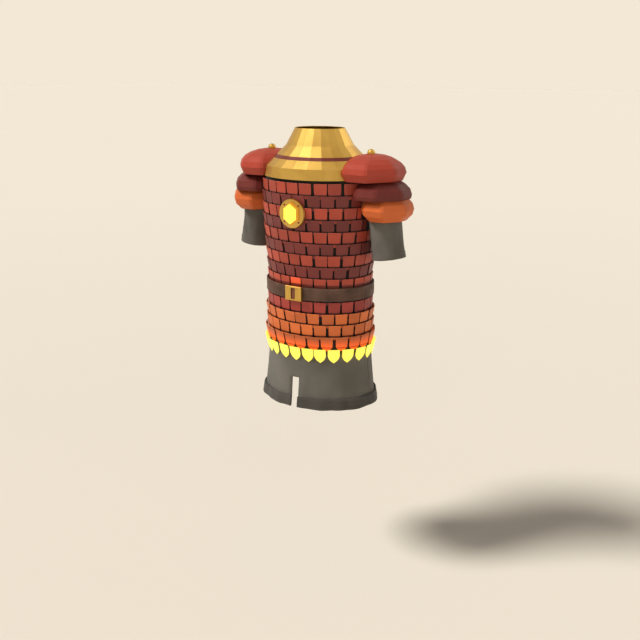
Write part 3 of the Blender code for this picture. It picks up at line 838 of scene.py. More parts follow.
class PlateGrower(Grower):
    """Grows one row of scales on the places worked out for them."""

    def __init__(self) -> None:
        """Build the tree: a plate on each place, turned outward, leaned and cut narrower where asked."""
        sizes = {"Width": "NodeSocketFloat", "Height": "NodeSocketFloat", "Wall": "NodeSocketFloat"}
        more = {"Plate": "NodeSocketObject", "Seed": "NodeSocketInt", "Finish": "NodeSocketMaterial"}
        super().__init__("Scales in a row", {**sizes, **more})
        plate = self.add("GeometryNodeObjectInfo", {"Object": self.given["Plate"]}).outputs["Geometry"]
        sockets = {0: self.stored("lean"), 1: self.stored("roll"), 2: self.stored("turn")}
        angles = self.add("ShaderNodeCombineXYZ", sockets).outputs[0]
        turned = self.add("FunctionNodeEulerToRotation", {0: angles}).outputs[0]
        sockets = {0: self.given["Width"], 1: self.stored("narrow")}
        narrow = self.add("ShaderNodeMath", sockets, operation="MULTIPLY").outputs[0]
        sockets = {0: narrow, 1: self.given["Wall"], 2: self.given["Height"]}
        size = self.add("ShaderNodeCombineXYZ", sockets).outputs[0]
        sockets = {"Points": self.given["Geometry"], "Instance": plate, "Rotation": turned, "Scale": size}
        placed = self.add("GeometryNodeInstanceOnPoints", sockets).outputs[0]
        sockets = {"Seed": self.given["Seed"]}
        shade = self.add("FunctionNodeRandomValue", sockets, data_type="FLOAT").outputs[1]
        sockets = {"Geometry": placed, "Name": "shade", "Value": shade}
        stored = self.add("GeometryNodeStoreNamedAttribute", sockets, data_type="FLOAT", domain="INSTANCE")
        self.finish(stored.outputs[0])

    def stored(self, name: str) -> bpy.types.NodeSocket:
        """A number stored on the places."""
        found = self.add("GeometryNodeInputNamedAttribute", {"Name": name}, data_type="FLOAT")
        return found.outputs["Attribute"]


@dataclass
class Sewing:
    """Sews visible stitches along lines. A stitch is as long as a share of the way to the next."""

    grower: StitchGrower = field(default_factory=StitchGrower)
    share: float = 0.68
    thickness: float = 0.0011

    def sew(
        self, name: str, line: Sequence[Point], finish: Finish, pace: float = 0.0055
    ) -> bpy.types.Object:
        """Sew one line.

        Args:
            name: The piece's name.
            line: Points along the line.
            finish: The thread's finish.
            pace: From one stitch to the next.

        Returns:
            The piece of stitches.
        """
        places = bpy.data.meshes.new(name)
        places.from_pydata([tuple(point) for point in line], [(i, i + 1) for i in range(len(line) - 1)], [])
        sizes = {"Spacing": pace, "Length": pace * self.share, "Thickness": self.thickness}
        mesh = self.grower.grow(name, places, {**sizes, "Finish": finish.material()})
        return new_piece(name, mesh, finish)


@dataclass(frozen=True)
class Crease:
    """A soft crease: its angle at the hem, how far it leans, its top, width and depth."""

    angle: float
    lean: float
    top: float
    width: float
    depth: float


@dataclass
class GarmentForm:
    """The form of the body of the tunic, from hem to neckline, with the creases of the skirt."""

    hem: float = -0.779
    sections: tuple[Point, ...] = (
        (-0.779, 0.2015, 0.1595),
        (-0.743, 0.1955, 0.1545),
        (-0.680, 0.1880, 0.1488),
        (-0.640, 0.1837, 0.1455),
        (-0.500, 0.1790, 0.1420),
        (-0.400, 0.1745, 0.1380),
        (-0.340, 0.1745, 0.1380),
        (-0.250, 0.1820, 0.1450),
        (-0.164, 0.1875, 0.1500),
        (-0.145, 0.1881, 0.1506),
        (-0.102, 0.1895, 0.1519),
        (-0.060, 0.1885, 0.1520),
        (-0.040, 0.1862, 0.1512),
        (-0.003, 0.1785, 0.1495),
        (0.020, 0.1478, 0.1233),
        (0.030, 0.1378, 0.1148),
        (0.058, 0.1078, 0.0895),
    )
    creases: tuple[Crease, ...] = (
        Crease(284, 5, -0.622, 5.5, -0.0032),
        Crease(297, -3, -0.632, 4.0, 0.0019),
        Crease(309, 4, -0.628, 6.0, -0.0028),
        Crease(324, 7, -0.622, 4.5, -0.0022),
        Crease(336, -4, -0.640, 5.0, 0.0020),
        Crease(349, 5, -0.626, 7.0, -0.0030),
        Crease(8, -6, -0.634, 5.0, 0.0017),
        Crease(24, 4, -0.622, 6.0, -0.0026),
        Crease(47, -5, -0.626, 7.5, -0.0034),
        Crease(66, 6, -0.636, 5.0, 0.0021),
        Crease(83, -3, -0.622, 6.0, -0.0030),
        Crease(104, 5, -0.630, 5.0, -0.0018),
        Crease(121, -6, -0.638, 6.0, 0.0020),
        Crease(138, 4, -0.622, 7.0, -0.0034),
        Crease(163, -4, -0.628, 5.0, -0.0024),
        Crease(181, 6, -0.634, 6.0, 0.0018),
        Crease(199, -5, -0.622, 6.5, -0.0031),
        Crease(217, 3, -0.630, 4.5, 0.0016),
        Crease(232, -5, -0.624, 6.0, -0.0029),
        Crease(251, 4, -0.634, 4.5, 0.0015),
        Crease(261, -4, -0.626, 4.0, -0.0020),
    )

    def size(self, height: float) -> tuple[float, float]:
        """Half width and half depth at a height."""
        heights, widths, depths = zip(*self.sections)
        return float(np.interp(height, heights, widths)), float(np.interp(height, heights, depths))

    def crease(self, angle: float, height: float) -> float:
        """How far the creases move the cloth outward.

        Args:
            angle: The angle round the garment.
            height: The height.

        Returns:
            The move in metres, less than nothing where it goes in.
        """
        total = 0.0
        for fold in self.creases:
            share = (fold.top - height) / (fold.top - self.hem)
            if share > 0.0:
                middle = fold.angle + fold.lean * (1.0 - share)
                apart = (math.degrees(angle) - middle + 180.0) % 360.0 - 180.0
                total += fold.depth * smooth(share) * math.exp(-((apart / fold.width) ** 2))
        return total

    def point(self, angle: float, height: float, off: float = 0.0, creased: bool = True) -> Point:
        """A point on the form.

        Args:
            angle: The angle round the garment; a quarter turn back from 0 is the front.
            height: The height.
            off: How far outside the form it lies.
            creased: Whether it follows the creases.

        Returns:
            The point.
        """
        half_width, half_depth = self.size(height)
        grow = off + (self.crease(angle, height) if creased else 0.0)
        return ((half_width + grow) * math.cos(angle), (half_depth + grow) * math.sin(angle), height)

    def even(self, height: float) -> tuple[Angles, Angles]:
        """Functions from a share of the way round, by length, to the angle there, and back.

        Args:
            height: The height at which they hold.

        Returns:
            The function to the angle and the one back to the share.
        """
        half_width, half_depth = self.size(height)
        angles, walked = round_walk(half_width, half_depth, 720)
        walked /= walked[-1]

        def angle_at(share: float) -> float:
            """The angle at a share."""
            whole = math.floor(share)
            return whole * math.tau + float(np.interp(share - whole, walked, angles))

        def share_at(angle: float) -> float:
            """The share at an angle."""
            return float(np.interp(angle, angles, walked))

        return angle_at, share_at


@dataclass
class Tunic:
    """The body of the tunic: front, back and hem band, with their stitches.

    The cuts are how wide and high each flat piece was, and its area once it was cut to shape.
    """

    form: GarmentForm
    sewing: Sewing
    facets: int = 120
    wall: float = 0.0016
    inset: float = 0.0002
    seam: float = 0.0001
    slit_half: float = 0.0125
    slit_top: float = -0.680
    armpit: float = -0.164
    armhole_top: float = -0.040
    armhole_half: float = 0.047
    band_top: float = -0.743
    band_off: float = 0.0012
    band_wall: float = 0.0050
    band_edge: float = 0.0012
    band_crown: float = 0.0003
    band_steps: int = 200
    # Soft waves of the band's face: how deep, how many round the hem, and where they start.
    band_waves: tuple[Point, ...] = ((0.0004, 9, 0.0), (0.0003, 23, 1.0))
    seam_top: float = -0.609
    stitch_in: float = 0.0045
    stitch_lift: float = 0.0002
    # The band's sewing lies this far below its top and above its bottom, and this far off its face.
    band_stitches_in: tuple[float, float] = (0.0048, 0.0052)
    band_stitch_lift: float = 0.0004
    # It stops at this angle from the slit. The other sewing starts this far above the band.
    slit_margin: float = 0.015
    slit_rise: float = 0.004
    seam_rise: float = 0.003
    body_cut: tuple[float, float] = (0.575, 0.880)
    front_area: float = 0.425
    back_area: float = 0.428
    band_cut: tuple[float, float] = (1.155, 0.080)
    band_area: float = 0.046
    courses: tuple[tuple[float, float, int], ...] = (
        (-0.779, -0.680, 17),
        (-0.680, -0.600, 10),
        (-0.600, -0.200, 14),
        (-0.200, -0.164, 3),
        (-0.164, -0.040, 22),
        (-0.040, -0.003, 3),
        (-0.003, 0.058, 6),
    )

    def levels(self) -> list[float]:
        """Heights of the cloth's courses, closer together where the cloth shows.

        Returns:
            The heights, from the hem up.
        """
        found = []
        for low, high, steps in self.courses:
            found += [low + (high - low) * step / steps for step in range(steps)]
        return [*found, self.courses[-1][1]]

    def columns(self, height: float) -> list[float]:
        """Angles of a front panel's columns at a height, from the right side seam to the left one.

        Near an armhole the columns draw back to its edge, and the two middle ones edge the slit.

        Args:
            height: The height.

        Returns:
            The angles.
        """
        half_width, half_depth = self.form.size(height)
        edge = self.seam / half_width
        middle, reach = (self.armpit + self.armhole_top) / 2, (self.armhole_top - self.armpit) / 2
        along = (height - middle) / reach
        if abs(along) < 1.0:
            edge = max(edge, math.asin(self.armhole_half * math.sqrt(1 - along * along) / half_depth))
        step = math.tau / self.facets
        # Columns that are drawn back keep this share of their distance.
        kept = 0.15
        half = [max(index * step, edge + index * step * kept) for index in range(self.facets // 4 - 2)]
        half.append(math.pi / 2 - math.asin(self.slit_half / half_width))
        return [-math.pi + angle for angle in half] + [-angle for angle in reversed(half)]

    def panel(self, front: bool) -> bpy.types.Object:
        """Sew up one panel.

        Args:
            front: Whether it is the front.

        Returns:
            The panel, a single wall of cloth.
        """
        word = "front" if front else "back"
        levels = self.levels()
        turn = 0.0 if front else math.pi
        rows = [
            [self.form.point(angle + turn, height, -self.inset) for angle in self.columns(height)]
            for height in levels
        ]
        middle = len(rows[0]) // 2 - 1

        def in_slit(row: int, column: int) -> bool:
            """Whether a cell lies in the slit."""
            return front and column == middle and levels[row + 1] <= self.slit_top + 1e-6

        mesh = loft(f"tunic_cloth_{word}", rows, skip=in_slit)
        piece = new_piece(f"tunic_cloth_{word}", mesh, WOOL, [f"tunic_{word}"])
        add_wall(piece, self.wall)
        return piece

    def band(self) -> bpy.types.Object:
        """Fold the hem band round the skirt, open at the slit.

        Returns:
            The band.
        """
        low, high = self.form.hem, self.band_top
        edge, crown = self.band_edge, self.band_crown
        inner, outer = self.band_off, self.band_off + self.band_wall
        # The folded edges are rounded by about a millimetre, a little unevenly.
        loop = (
            (inner, low + edge),
            (inner + edge, low),
            (outer - 0.0014, low),
            (outer - crown, low + edge),
            (outer, low + self.stitch_in),
            (outer + crown, (low + high) / 2),
            (outer, high - self.stitch_in),
            (outer - 0.0004, high - edge),
            (outer - 0.0016, high),
            (inner + edge, high),
            (inner, high - edge),
        )
        half_width = self.form.size(low)[0]
        slit = math.asin(self.slit_half / half_width)
        rings = []
        for step in range(self.band_steps + 1):
            angle = -math.pi / 2 + slit + (math.tau - 2 * slit) * step / self.band_steps
            soft = sum(deep * math.sin(count * angle + start) for deep, count, start in self.band_waves)
            swell = [soft if off > inner + 0.002 else 0.0 for off, _ in loop]
            rings.append([self.form.point(angle, z, off + more) for (off, z), more in zip(loop, swell)])
        mesh = strap_mesh("hem_band_cloth", rings, closed=False)
        return new_piece("hem_band_cloth", mesh, BAND_WOOL, ["hem_band"])

    def beside_slit(self, side: Side, height: float) -> float:
        """The angle of the sewing beside the slit, at a height."""
        reach = (self.slit_half + self.stitch_in) / self.form.size(height)[0]
        return -math.pi / 2 + side.value * math.asin(reach)

    def beside_seam(self, side: Side, apart: float, height: float) -> float:
        """The angle of the sewing beside a side seam, at a height."""
        seam = 0.0 if side is Side.LEFT else math.pi
        return seam + apart / self.form.size(height)[1]

    def upright(self, low: float, high: float, steps: int, place: Angles) -> list[Point]:
        """A line of sewing that runs up the cloth.

        Args:
            low: Its lower end.
            high: Its upper end.
            steps: How many points it has.
            place: Gives its angle at a height.

        Returns:
            Points along the line.
        """
        heights = [low + (high - low) * step / (steps - 1) for step in range(steps)]
        return [self.form.point(place(height), height, self.stitch_lift) for height in heights]

    def stitches(self) -> list[bpy.types.Object]:
        """Sew the band's two lines, the slit's edges and the side seams.

        Returns:
            The pieces of stitches.
        """
        outer = self.band_off + self.band_wall + self.band_stitch_lift
        start = math.asin(self.slit_half / self.form.size(self.form.hem)[0]) + self.slit_margin
        turns = [-math.pi / 2 + start + (math.tau - 2 * start) * step / LINE_STEPS for step in LINE]
        upper_in, lower_in = self.band_stitches_in
        made = []
        for word, height in (("upper", self.band_top - upper_in), ("lower", self.form.hem + lower_in)):
            line = [self.form.point(angle, height, outer) for angle in turns]
            made.append(self.sewing.sew(f"band_stitches_{word}", line, THREAD))
        for side in Side:
            place = partial(self.beside_slit, side)
            low, high = self.band_top + self.slit_rise, self.slit_top + self.slit_rise
            line = self.upright(low, high, 30, place)
            made.append(self.sewing.sew(f"slit_stitches_{side.word}", line, THREAD))
            for number, apart in enumerate((-self.stitch_in, self.stitch_in), 1):
                place = partial(self.beside_seam, side, apart)
                line = self.upright(self.band_top + self.seam_rise, self.seam_top, 60, place)
                made.append(self.sewing.sew(f"side_stitches_{side.word}_{number}", line, THREAD))
        return made

    def build(self) -> None:
        """Make the tunic's body, its hem band and its stitches."""
        front, back, band = self.panel(True), self.panel(False), self.band()
        threads = self.stitches()


@dataclass
class Sleeve:
    """One sleeve, a tube from its armhole to its turned cuff.

    A fold is its angle round the sleeve, its lean, how far down it lies, its width and its depth.
    """

    side: Side
    form: GarmentForm
    sewing: Sewing
    pivot: float = 0.1900
    armpit: float = -0.164
    armhole: float = 0.124
    armhole_half: float = 0.047
    across: float = 0.1015
    half_depth: float = 0.054
    tilt: float = math.radians(8)
    length: float = 0.116
    cuff_half: float = 0.0515
    clear: float = 0.0006
    cuff_turn: float = 0.021
    cuff_swell: float = 0.0009
    stitch_lift: float = 0.0012
    stitch_rises: tuple[float, float] = (0.017, 0.005)
    cuff_ease: float = 0.03
    fold_reach: float = 0.42
    fold_start: float = 0.2
    cut: tuple[float, float] = (0.365, 0.235)
    cut_area: float = 0.066
    facets: int = 72
    turns: int = 12
    drops: int = 30
    wall: float = 0.0016
    folds: tuple[tuple[float, float, float, float, float], ...] = ()

    def fold(self, around: float, along: float) -> float:
        """How far the creases move the cloth outward.

        Args:
            around: The angle round the sleeve.
            along: How far down it is, from 0 at the armpit to 1 at the cuff.

        Returns:
            The move in metres.
        """
        total = 0.0
        for angle, lean, middle, width, depth in self.folds:
            apart = (math.degrees(around) - angle - lean * (along - middle) + 180.0) % 360.0 - 180.0
            fade = math.exp(-(((along - middle) / self.fold_reach) ** 2))
            fade *= smooth(along / self.fold_start)
            total += depth * fade * math.exp(-((apart / width) ** 2))
        return total

    def turned_ring(self, turn: float) -> list[Point]:
        """A ring about the armpit; turn 1 lies in the armhole and turn 0 faces down.

        Args:
            turn: How far it is turned, from 0 to 1.

        Returns:
            The ring.
        """
        across = self.across + (self.armhole - self.across) * turn
        depth = self.half_depth + (self.armhole_half - self.half_depth) * turn
        angle = turn * math.pi / 2
        ring = []
        for step in range(self.facets):
            around = math.tau * step / self.facets
            reach = across / 2 * (1 + math.cos(around)) + self.clear * (1 - turn)
            x, z = self.pivot + reach * math.cos(angle), self.armpit + reach * math.sin(angle)
            y = depth * math.sin(around)
            if turn == 1.0:
                half_width, half_deep = self.form.size(z)
                x = half_width * math.sqrt(1 - (y / half_deep) ** 2) + self.clear
            ring.append((self.side.value * x, y, z))
        return ring

    def hanging_ring(self, part: float, grow: float = 0.0) -> list[Point]:
        """A ring of the straight part.

        Args:
            part: How far down it is, from 0 to 1.
            grow: How much wider it is.

        Returns:
            The ring.
        """
        half = self.across / 2 + (self.cuff_half - self.across / 2) * part
        depth = self.half_depth + (self.cuff_half - self.half_depth) * part
        drop = self.length * part
        middle = self.pivot + self.across / 2 + drop * math.tan(self.tilt) + self.clear
        ring = []
        for step in range(self.facets):
            around = math.tau * step / self.facets
            more = self.fold(around, part) + grow
            lift = half * math.cos(around) * math.sin(self.tilt) * part
            x, y = middle + (half + more) * math.cos(around), (depth + more) * math.sin(around)
            ring.append((self.side.value * x, y, self.armpit - drop + lift))
        return ring

    def build(self) -> None:
        """Make the sleeve, its turned cuff and the cuff's stitches."""
        rings = [self.turned_ring(1 - step / self.turns) for step in range(self.turns + 1)]
        edge = 1 - self.cuff_turn / self.length
        for step in range(1, self.drops + 1):
            part = step / self.drops
            rings.append(self.hanging_ring(part, self.cuff_swell * smooth((part - edge) / self.cuff_ease)))
        word = self.side.word
        mesh = outward(loft(f"sleeve_cloth_{word}", rings, closed=True))
        piece = new_piece(f"sleeve_cloth_{word}", mesh, SLEEVE_WOOL, [f"sleeve_{word}"])
        add_wall(piece, self.wall)
        for number, rise in enumerate(self.stitch_rises, 1):
            ring = self.hanging_ring(1 - rise / self.length, self.stitch_lift)
            self.sewing.sew(f"cuff_stitches_{word}_{number}", [*ring, ring[0]], THREAD)


@dataclass(frozen=True)
class RowPlan:
    """One row of scales: its finish, the flare of its top edge and the half width left free at the arms."""

    finish: Finish
    flare: float
    free: float
    outline: Outline = Outline.SQUARE


@dataclass
class ScaleRows:
    """The fifteen rows of lacquered scales, each one scale laid against the next.

    The front moves are set row by row, in hundredths of a scale's pitch, from scale 17 on.
    The other scales are moved by a rule. A bevel is its depth, its inset and how rubbed it is.
    """

    form: GarmentForm
    round_count: int = 24
    first_top: float = -0.045
    pitch: float = 0.0376
    last_drop: float = 0.003
    height: float = 0.0487
    side_height: float = 0.0365
    fill: float = 0.87
    wall: float = 0.0020
    top_off: float = 0.0064
    side_off: float = 0.0022
    uneven: float = 0.042
    # The rule for the other scales: waves by scale and by row, bent by a wave of their own.
    sway: tuple[float, float, float, float] = (5.3, 2.9, 1.7, 3.1)
    roll_sway: tuple[float, float] = (7.1, 2.3)
    first_seed: int = 11
    front_scale: int = 17
    front_moves: tuple[tuple[int, ...], ...] = (
        (-2, -4, -6, 1, -4, 4),
        (-2, -5, 3, -2, -2, 4),
        (0, -2, -3, 3, 3, 3),
        (-2, -2, 0, 0, 1, 3),
        (2, 1, 0, 0, -3, -3),
        (5, -4, -1, -3, 2, 3),
        (-3, -3, -4, 4, -4, 4),
        (-1, -1, -4, -4, -4, 4),
        (0, 0, -3, -4, -5, 3),
        (1, -2, 2, -1, 3, -2),
        (-1, -2, -3, -4, 3, 3),
        (5, -4, -4, 4, 2, 2),
        (-2, -2, -3, -3, 4, 4),
        (4, -5, -4, -4, 4, 4),
        (3, 3, 4, -5, -5, -2),
    )
    roll: float = 0.014
    least: float = 0.15
    # A painted glow on one scale over the buckle.
    hot_row: int = 8
    hot_place: Point = (0.0, -0.15, -0.346)
    hot_reach: float = 0.022
    hot_glow: float = 0.5
    bevel_middle: float = -0.48
    bevels: tuple[Point, ...] = (
        (0.0, 0.0, 0.0),
        (-0.80, 0.0, 1.0),
        (-1.0, 0.022, 0.7),
        (-1.0, 0.10, 0.0),
    )
    plans: tuple[RowPlan, ...] = (
        RowPlan(RED, 0.0, 0.0492),
        RowPlan(MAROON, 0.0, 0.0492),
        RowPlan(RED, 0.0, 0.0492),
        RowPlan(MAROON, 0.0, 0.0265),
        RowPlan(RED, 0.0, 0.0),
        RowPlan(MAROON, 0.0, 0.0),
        RowPlan(RED, 0.0, 0.0),
        RowPlan(MAROON, 0.0, 0.0),
        RowPlan(BELT_RED, 0.0, 0.0),
        RowPlan(MAROON, 0.0, 0.0),
        RowPlan(CRIMSON, 0.0, 0.0),
        RowPlan(AMBER, 0.0045, 0.0),
        RowPlan(AMBER, 0.001, 0.0),
        RowPlan(EMBER_RED, 0.0045, 0.0),
        RowPlan(FLAME, 0.0055, 0.0, Outline.TONGUE),
    )

    def plate(self, outline: Outline) -> bpy.types.Object:
        """Make a pattern scale, one unit wide, high and thick, with a bevelled front and rubbed edges.

        Args:
            outline: The outline of its right half.

        Returns:
            The pattern, which is removed when its rows are made.
        """
        right = outline.value
        half = [*right, *((-x, z) for x, z in reversed(right[:-1]))]
        middle = self.bevel_middle
        rings = [
            [(x - x * inset, level, z + (middle - z) * inset) for x, z in half]
            for level, inset, _ in self.bevels
        ]
        mesh = stacked_mesh("pattern scale", rings)
        rubbed = [share for _, _, share in self.bevels for _ in half]
        store(mesh, "edge", rubbed)
        store(mesh, "drop", [-z for ring in rings for _, _, z in ring])
        return link("pattern scale", mesh)

    def top(self, row: int) -> float:
        """The height of a row's upper edge; the lowest row hangs a little lower than its pitch."""
        lowest = row == len(self.plans) - 1
        return self.first_top - self.pitch * row - (self.last_drop if lowest else 0.0)

    def middle(self, row: int, index: int) -> float:
        """Where a scale's middle lies, as a share of the way round.

        Args:
            row: The row, 0 at the top.
            index: The scale's number in its row.

        Returns:
            The share.
        """
        moves = self.front_moves[row]
        if self.front_scale <= index < self.front_scale + len(moves):
            shift = moves[index - self.front_scale] / 100
        else:
            along, down, bend, ripple = self.sway
            turn = along * index + down * row + bend * math.sin(ripple * index)
            shift = self.uneven * math.sin(turn)
        return (index + 0.5 * (row % 2) + shift) / self.round_count

    def runs(self, plan: RowPlan, half_depth: float, share_at: Angles) -> list[tuple[float, float]]:
        """The limits of a row's runs, as shares of the way round.

        Args:
            plan: The row's plan.
            half_depth: Half the form's depth there.
            share_at: Gives the share at an angle.

        Returns:
            One pair of limits for each run; a row that goes all the way round is one run.
        """
        if plan.free == 0.0:
            return [(-1.0, 2.0)]
        turn = math.asin(plan.free / half_depth)
        back = (share_at(turn), share_at(math.pi - turn))
        front = (share_at(math.pi + turn), share_at(math.tau - turn))
        return [back, front]

    def places(self, row: int, plan: RowPlan) -> bpy.types.Mesh:
        """Work out where each scale of a row hangs.

        Args:
            row: The row, 0 at the top.
            plan: Its plan.

        Returns:
            A mesh of points with each scale's turn, lean, width share and glow.
        """
        top = self.top(row)
        angle_at, share_at = self.form.even(top - self.pitch / 2)
        half_depth = self.form.size(top - self.pitch / 2)[1]
        half = self.fill / 2 / self.round_count
        along, down = self.roll_sway
        points, values = [], {"turn": [], "lean": [], "roll": [], "narrow": [], "glow": []}
        for low, high in self.runs(plan, half_depth, share_at):
            for index in range(self.round_count):
                middle = self.middle(row, index)
                left, right = max(middle - half, low), min(middle + half, high)
                if right - left <= self.least / self.round_count:
                    continue
                angle = angle_at((left + right) / 2)
                upper = Vector(self.form.point(angle, top, self.top_off + plan.flare, creased=False))
                lower = Vector(self.form.point(angle, top - self.side_height, self.side_off, creased=False))
                half_width, deep = self.form.size(top)
                out = Vector((math.cos(angle) / half_width, math.sin(angle) / deep, 0.0)).normalized()
                fall = lower - upper
                points.append(tuple(upper))
                values["turn"].append(math.atan2(out.x, -out.y))
                values["lean"].append(math.asin(-fall.dot(out) / fall.length))
                values["roll"].append(self.roll * math.sin(along * index + down * row))
                values["narrow"].append((right - left) / (2 * half))
                values["glow"].append(self.glow(row, upper))
        mesh = bpy.data.meshes.new("places")
        mesh.from_pydata(points, [], [])
        for name, numbers in values.items():
            store(mesh, name, numbers)
        return mesh

    def glow(self, row: int, place: Vector) -> float:
        """How much painted glow one scale gets; one scale over the buckle does."""
        near = (place - Vector(self.hot_place)).length
        return self.hot_glow if row == self.hot_row and near < self.hot_reach else 0.0

    def scale_width(self, top: float) -> float:
        """How wide a whole scale is in a row.

        Args:
            top: The height of the row's upper edge.

        Returns:
            The width.
        """
        half_width, half_depth = self.form.size(top - self.pitch / 2)
        _, walked = round_walk(half_width + self.top_off, half_depth + self.top_off, 360)
        return float(walked[-1]) / self.round_count * self.fill

    def build(self) -> None:
        """Grow the fifteen rows."""
        grower = PlateGrower()
        patterns = {outline: self.plate(outline) for outline in Outline}
        for row, plan in enumerate(self.plans):
            name = f"scales_row_{row + 1:02d}"
            width = self.scale_width(self.top(row))
            sizes = {"Width": width, "Height": self.height, "Wall": self.wall}
            inputs = {**sizes, "Plate": patterns[plan.outline], "Seed": self.first_seed + row}
            inputs["Finish"] = plan.finish.material()
            mesh = grower.grow(name, self.places(row, plan), inputs)
            endings = ("_front", "_back") if plan.free > 0.0 else ("",)
            new_piece(name, mesh, plan.finish, [f"row_{row + 1:02d}{ending}" for ending in endings])
        for pattern in patterns.values():
            bpy.data.objects.remove(pattern, do_unlink=True)


@dataclass
class Belt:
    """The leather belt with its two lines of sewing, its buckle and the buckle's tongue."""

    form: GarmentForm
    sewing: Sewing
    top: float = -0.3745
    bottom: float = -0.416
    off: float = 0.0089
    wall: float = 0.0040
    edge: float = 0.0009
    crown: float = 0.0003
    steps: int = 180
    seam_in: float = 0.0045
    stitch_lift: float = 0.0001
    stitch_pace: float = 0.0062

    def ring_point(self, angle: float, off: float, height: float) -> Point:
        """A point of the belt, whose sides stand upright."""
        half_width, half_depth = self.form.size((self.top + self.bottom) / 2)
        return ((half_width + off) * math.cos(angle), (half_depth + off) * math.sin(angle), height)

    def build(self) -> None:
        """Make the strap, sew it and dress the buckle."""
        inner, outer, edge = self.off, self.off + self.wall, self.edge
        loop = (
            (inner, self.bottom + edge),
            (inner + edge, self.bottom),
            (outer - edge, self.bottom),
            (outer, self.bottom + edge),
            (outer + self.crown, (self.top + self.bottom) / 2),
            (outer, self.top - edge),
            (outer - edge, self.top),
            (inner + edge, self.top),
            (inner, self.top - edge),
        )
        rings = [
            [self.ring_point(math.tau * step / self.steps, off, height) for off, height in loop]
            for step in range(self.steps)
        ]
        mesh = strap_mesh("belt_strap", rings, closed=True)
        new_piece("belt_strap", mesh, LEATHER, ["belt"])
        turns = [math.tau * step / LINE_STEPS for step in LINE]
        for word, height in (("upper", self.top - self.seam_in), ("lower", self.bottom + self.seam_in)):
            line = [self.ring_point(turn, outer + self.stitch_lift, height) for turn in turns]
            self.sewing.sew(f"belt_stitches_{word}", line, WAXED_THREAD, self.stitch_pace)
        dress("buckle", BRASS)
        dress("buckle_tongue", TONGUE_LEATHER)


@dataclass
class Brooch:
    """The round brooch: its disc, its long six-sided gem and four studs.

    A cut of the gem is its size and how far forward it lies, both as shares of the whole.
    """

    height: float = -0.1395
    gem_half_width: float = 0.0265
    gem_half_height: float = 0.0365
    cuts: tuple[tuple[float, float], ...] = ((1.0, 0.0), (1.0, 0.35), (0.95, 0.78), (0.86, 1.0))
    sides: int = 6
    studs: int = 4
    # A face that looks forward at least this squarely is the table.
    square_on: float = 0.95

    def gem(self) -> bpy.types.Object:
        """Cut the gem: a flat table, sloping sides and a narrow girdle.

        Returns:
            The gem.
        """
        low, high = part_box("brooch_gem")
        back, front = high[1], low[1]
        half_side = math.pi / self.sides
        corners = [half_side * (2 * corner + 1) for corner in range(self.sides)]
        across = self.gem_half_width / math.cos(half_side)
        rings = []
        for share, depth in self.cuts:
            y = back + (front - back) * depth
            wide, tall = across * share, self.gem_half_height * share
            ring = [(wide * math.cos(turn), y, self.height + tall * math.sin(turn)) for turn in corners]
            rings.append(ring)
        mesh = stacked_mesh("cut_gem", rings)
        for finish in (GEM_FACE, GEM_SIDE):
            mesh.materials.append(finish.material())
        for polygon in mesh.polygons:
            polygon.material_index = 0 if polygon.normal.y < -self.square_on else 1
        return new_piece("cut_gem", mesh, GEM_FACE, ["brooch_gem"])

    def build(self) -> None:
        """Dress the disc and the studs, and cut the gem."""
        dress("brooch_disc", BRASS)
        for number in range(self.studs):
            dress(f"brooch_stud_{number + 1}", ENAMEL)
        self.gem()


@dataclass
class Gorget:
    """The brass shoulder plate and collar, with the enamel inlay between them."""

    brass_parts: tuple[str, ...] = ("gorget_plate", "gorget_collar")

    def build(self) -> None:
        """Dress the gorget's plates."""
        for node in self.brass_parts:
            dress(node, BRASS)
        dress("gorget_inlay", ENAMEL)


@dataclass
class Pauldron:
    """Three lacquered lames and a brass knob on one shoulder."""

    side: Side
    knob_at: float = 0.1870
    knob_radius: float = 0.0125
    knob_height: float = 0.0420
    knob_facets: tuple[int, int] = (24, 16)
    knob_sharp: float = math.radians(40)
    lames: tuple[tuple[str, Finish], ...] = (
        ("cap", CAP_RED),
        ("middle", LAME_MAROON),
        ("lower", LAME_AMBER),
    )

    def knob(self) -> bpy.types.Object:
        """Turn the knob, a ball cut flat where it sits on the cap.

        Returns:
            The knob.
        """
        base = (0.0, 0.0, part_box(f"knob_{self.side.word}")[0][2])
        around, down = self.knob_facets
        work = bmesh.new()
        bmesh.ops.create_uvsphere(work, u_segments=around, v_segments=down, radius=self.knob_radius)
        place = (self.side.value * self.knob_at, 0.0, self.knob_height)
        bmesh.ops.translate(work, vec=place, verts=work.verts)
        whole = [*work.verts, *work.edges, *work.faces]
        up = (0.0, 0.0, 1.0)
        made = bmesh.ops.bisect_plane(work, geom=whole, plane_co=base, plane_no=up, clear_inner=True)
        rim = [item for item in made["geom_cut"] if isinstance(item, bmesh.types.BMEdge)]
        bmesh.ops.contextual_create(work, geom=rim)
        bmesh.ops.recalc_face_normals(work, faces=work.faces)
        mesh = bpy.data.meshes.new("turned_knob")
        work.to_mesh(mesh)
        work.free()
        mesh.shade_smooth()
        mesh.set_sharp_from_angle(angle=self.knob_sharp)
        return new_piece(f"turned_knob_{self.side.word}", mesh, BRASS, [f"knob_{self.side.word}"])

    def build(self) -> None:
        """Dress the lames and turn the knob."""
        for place, finish in self.lames:
            dress(f"pauldron_{self.side.word}_{place}", finish)
        self.knob()


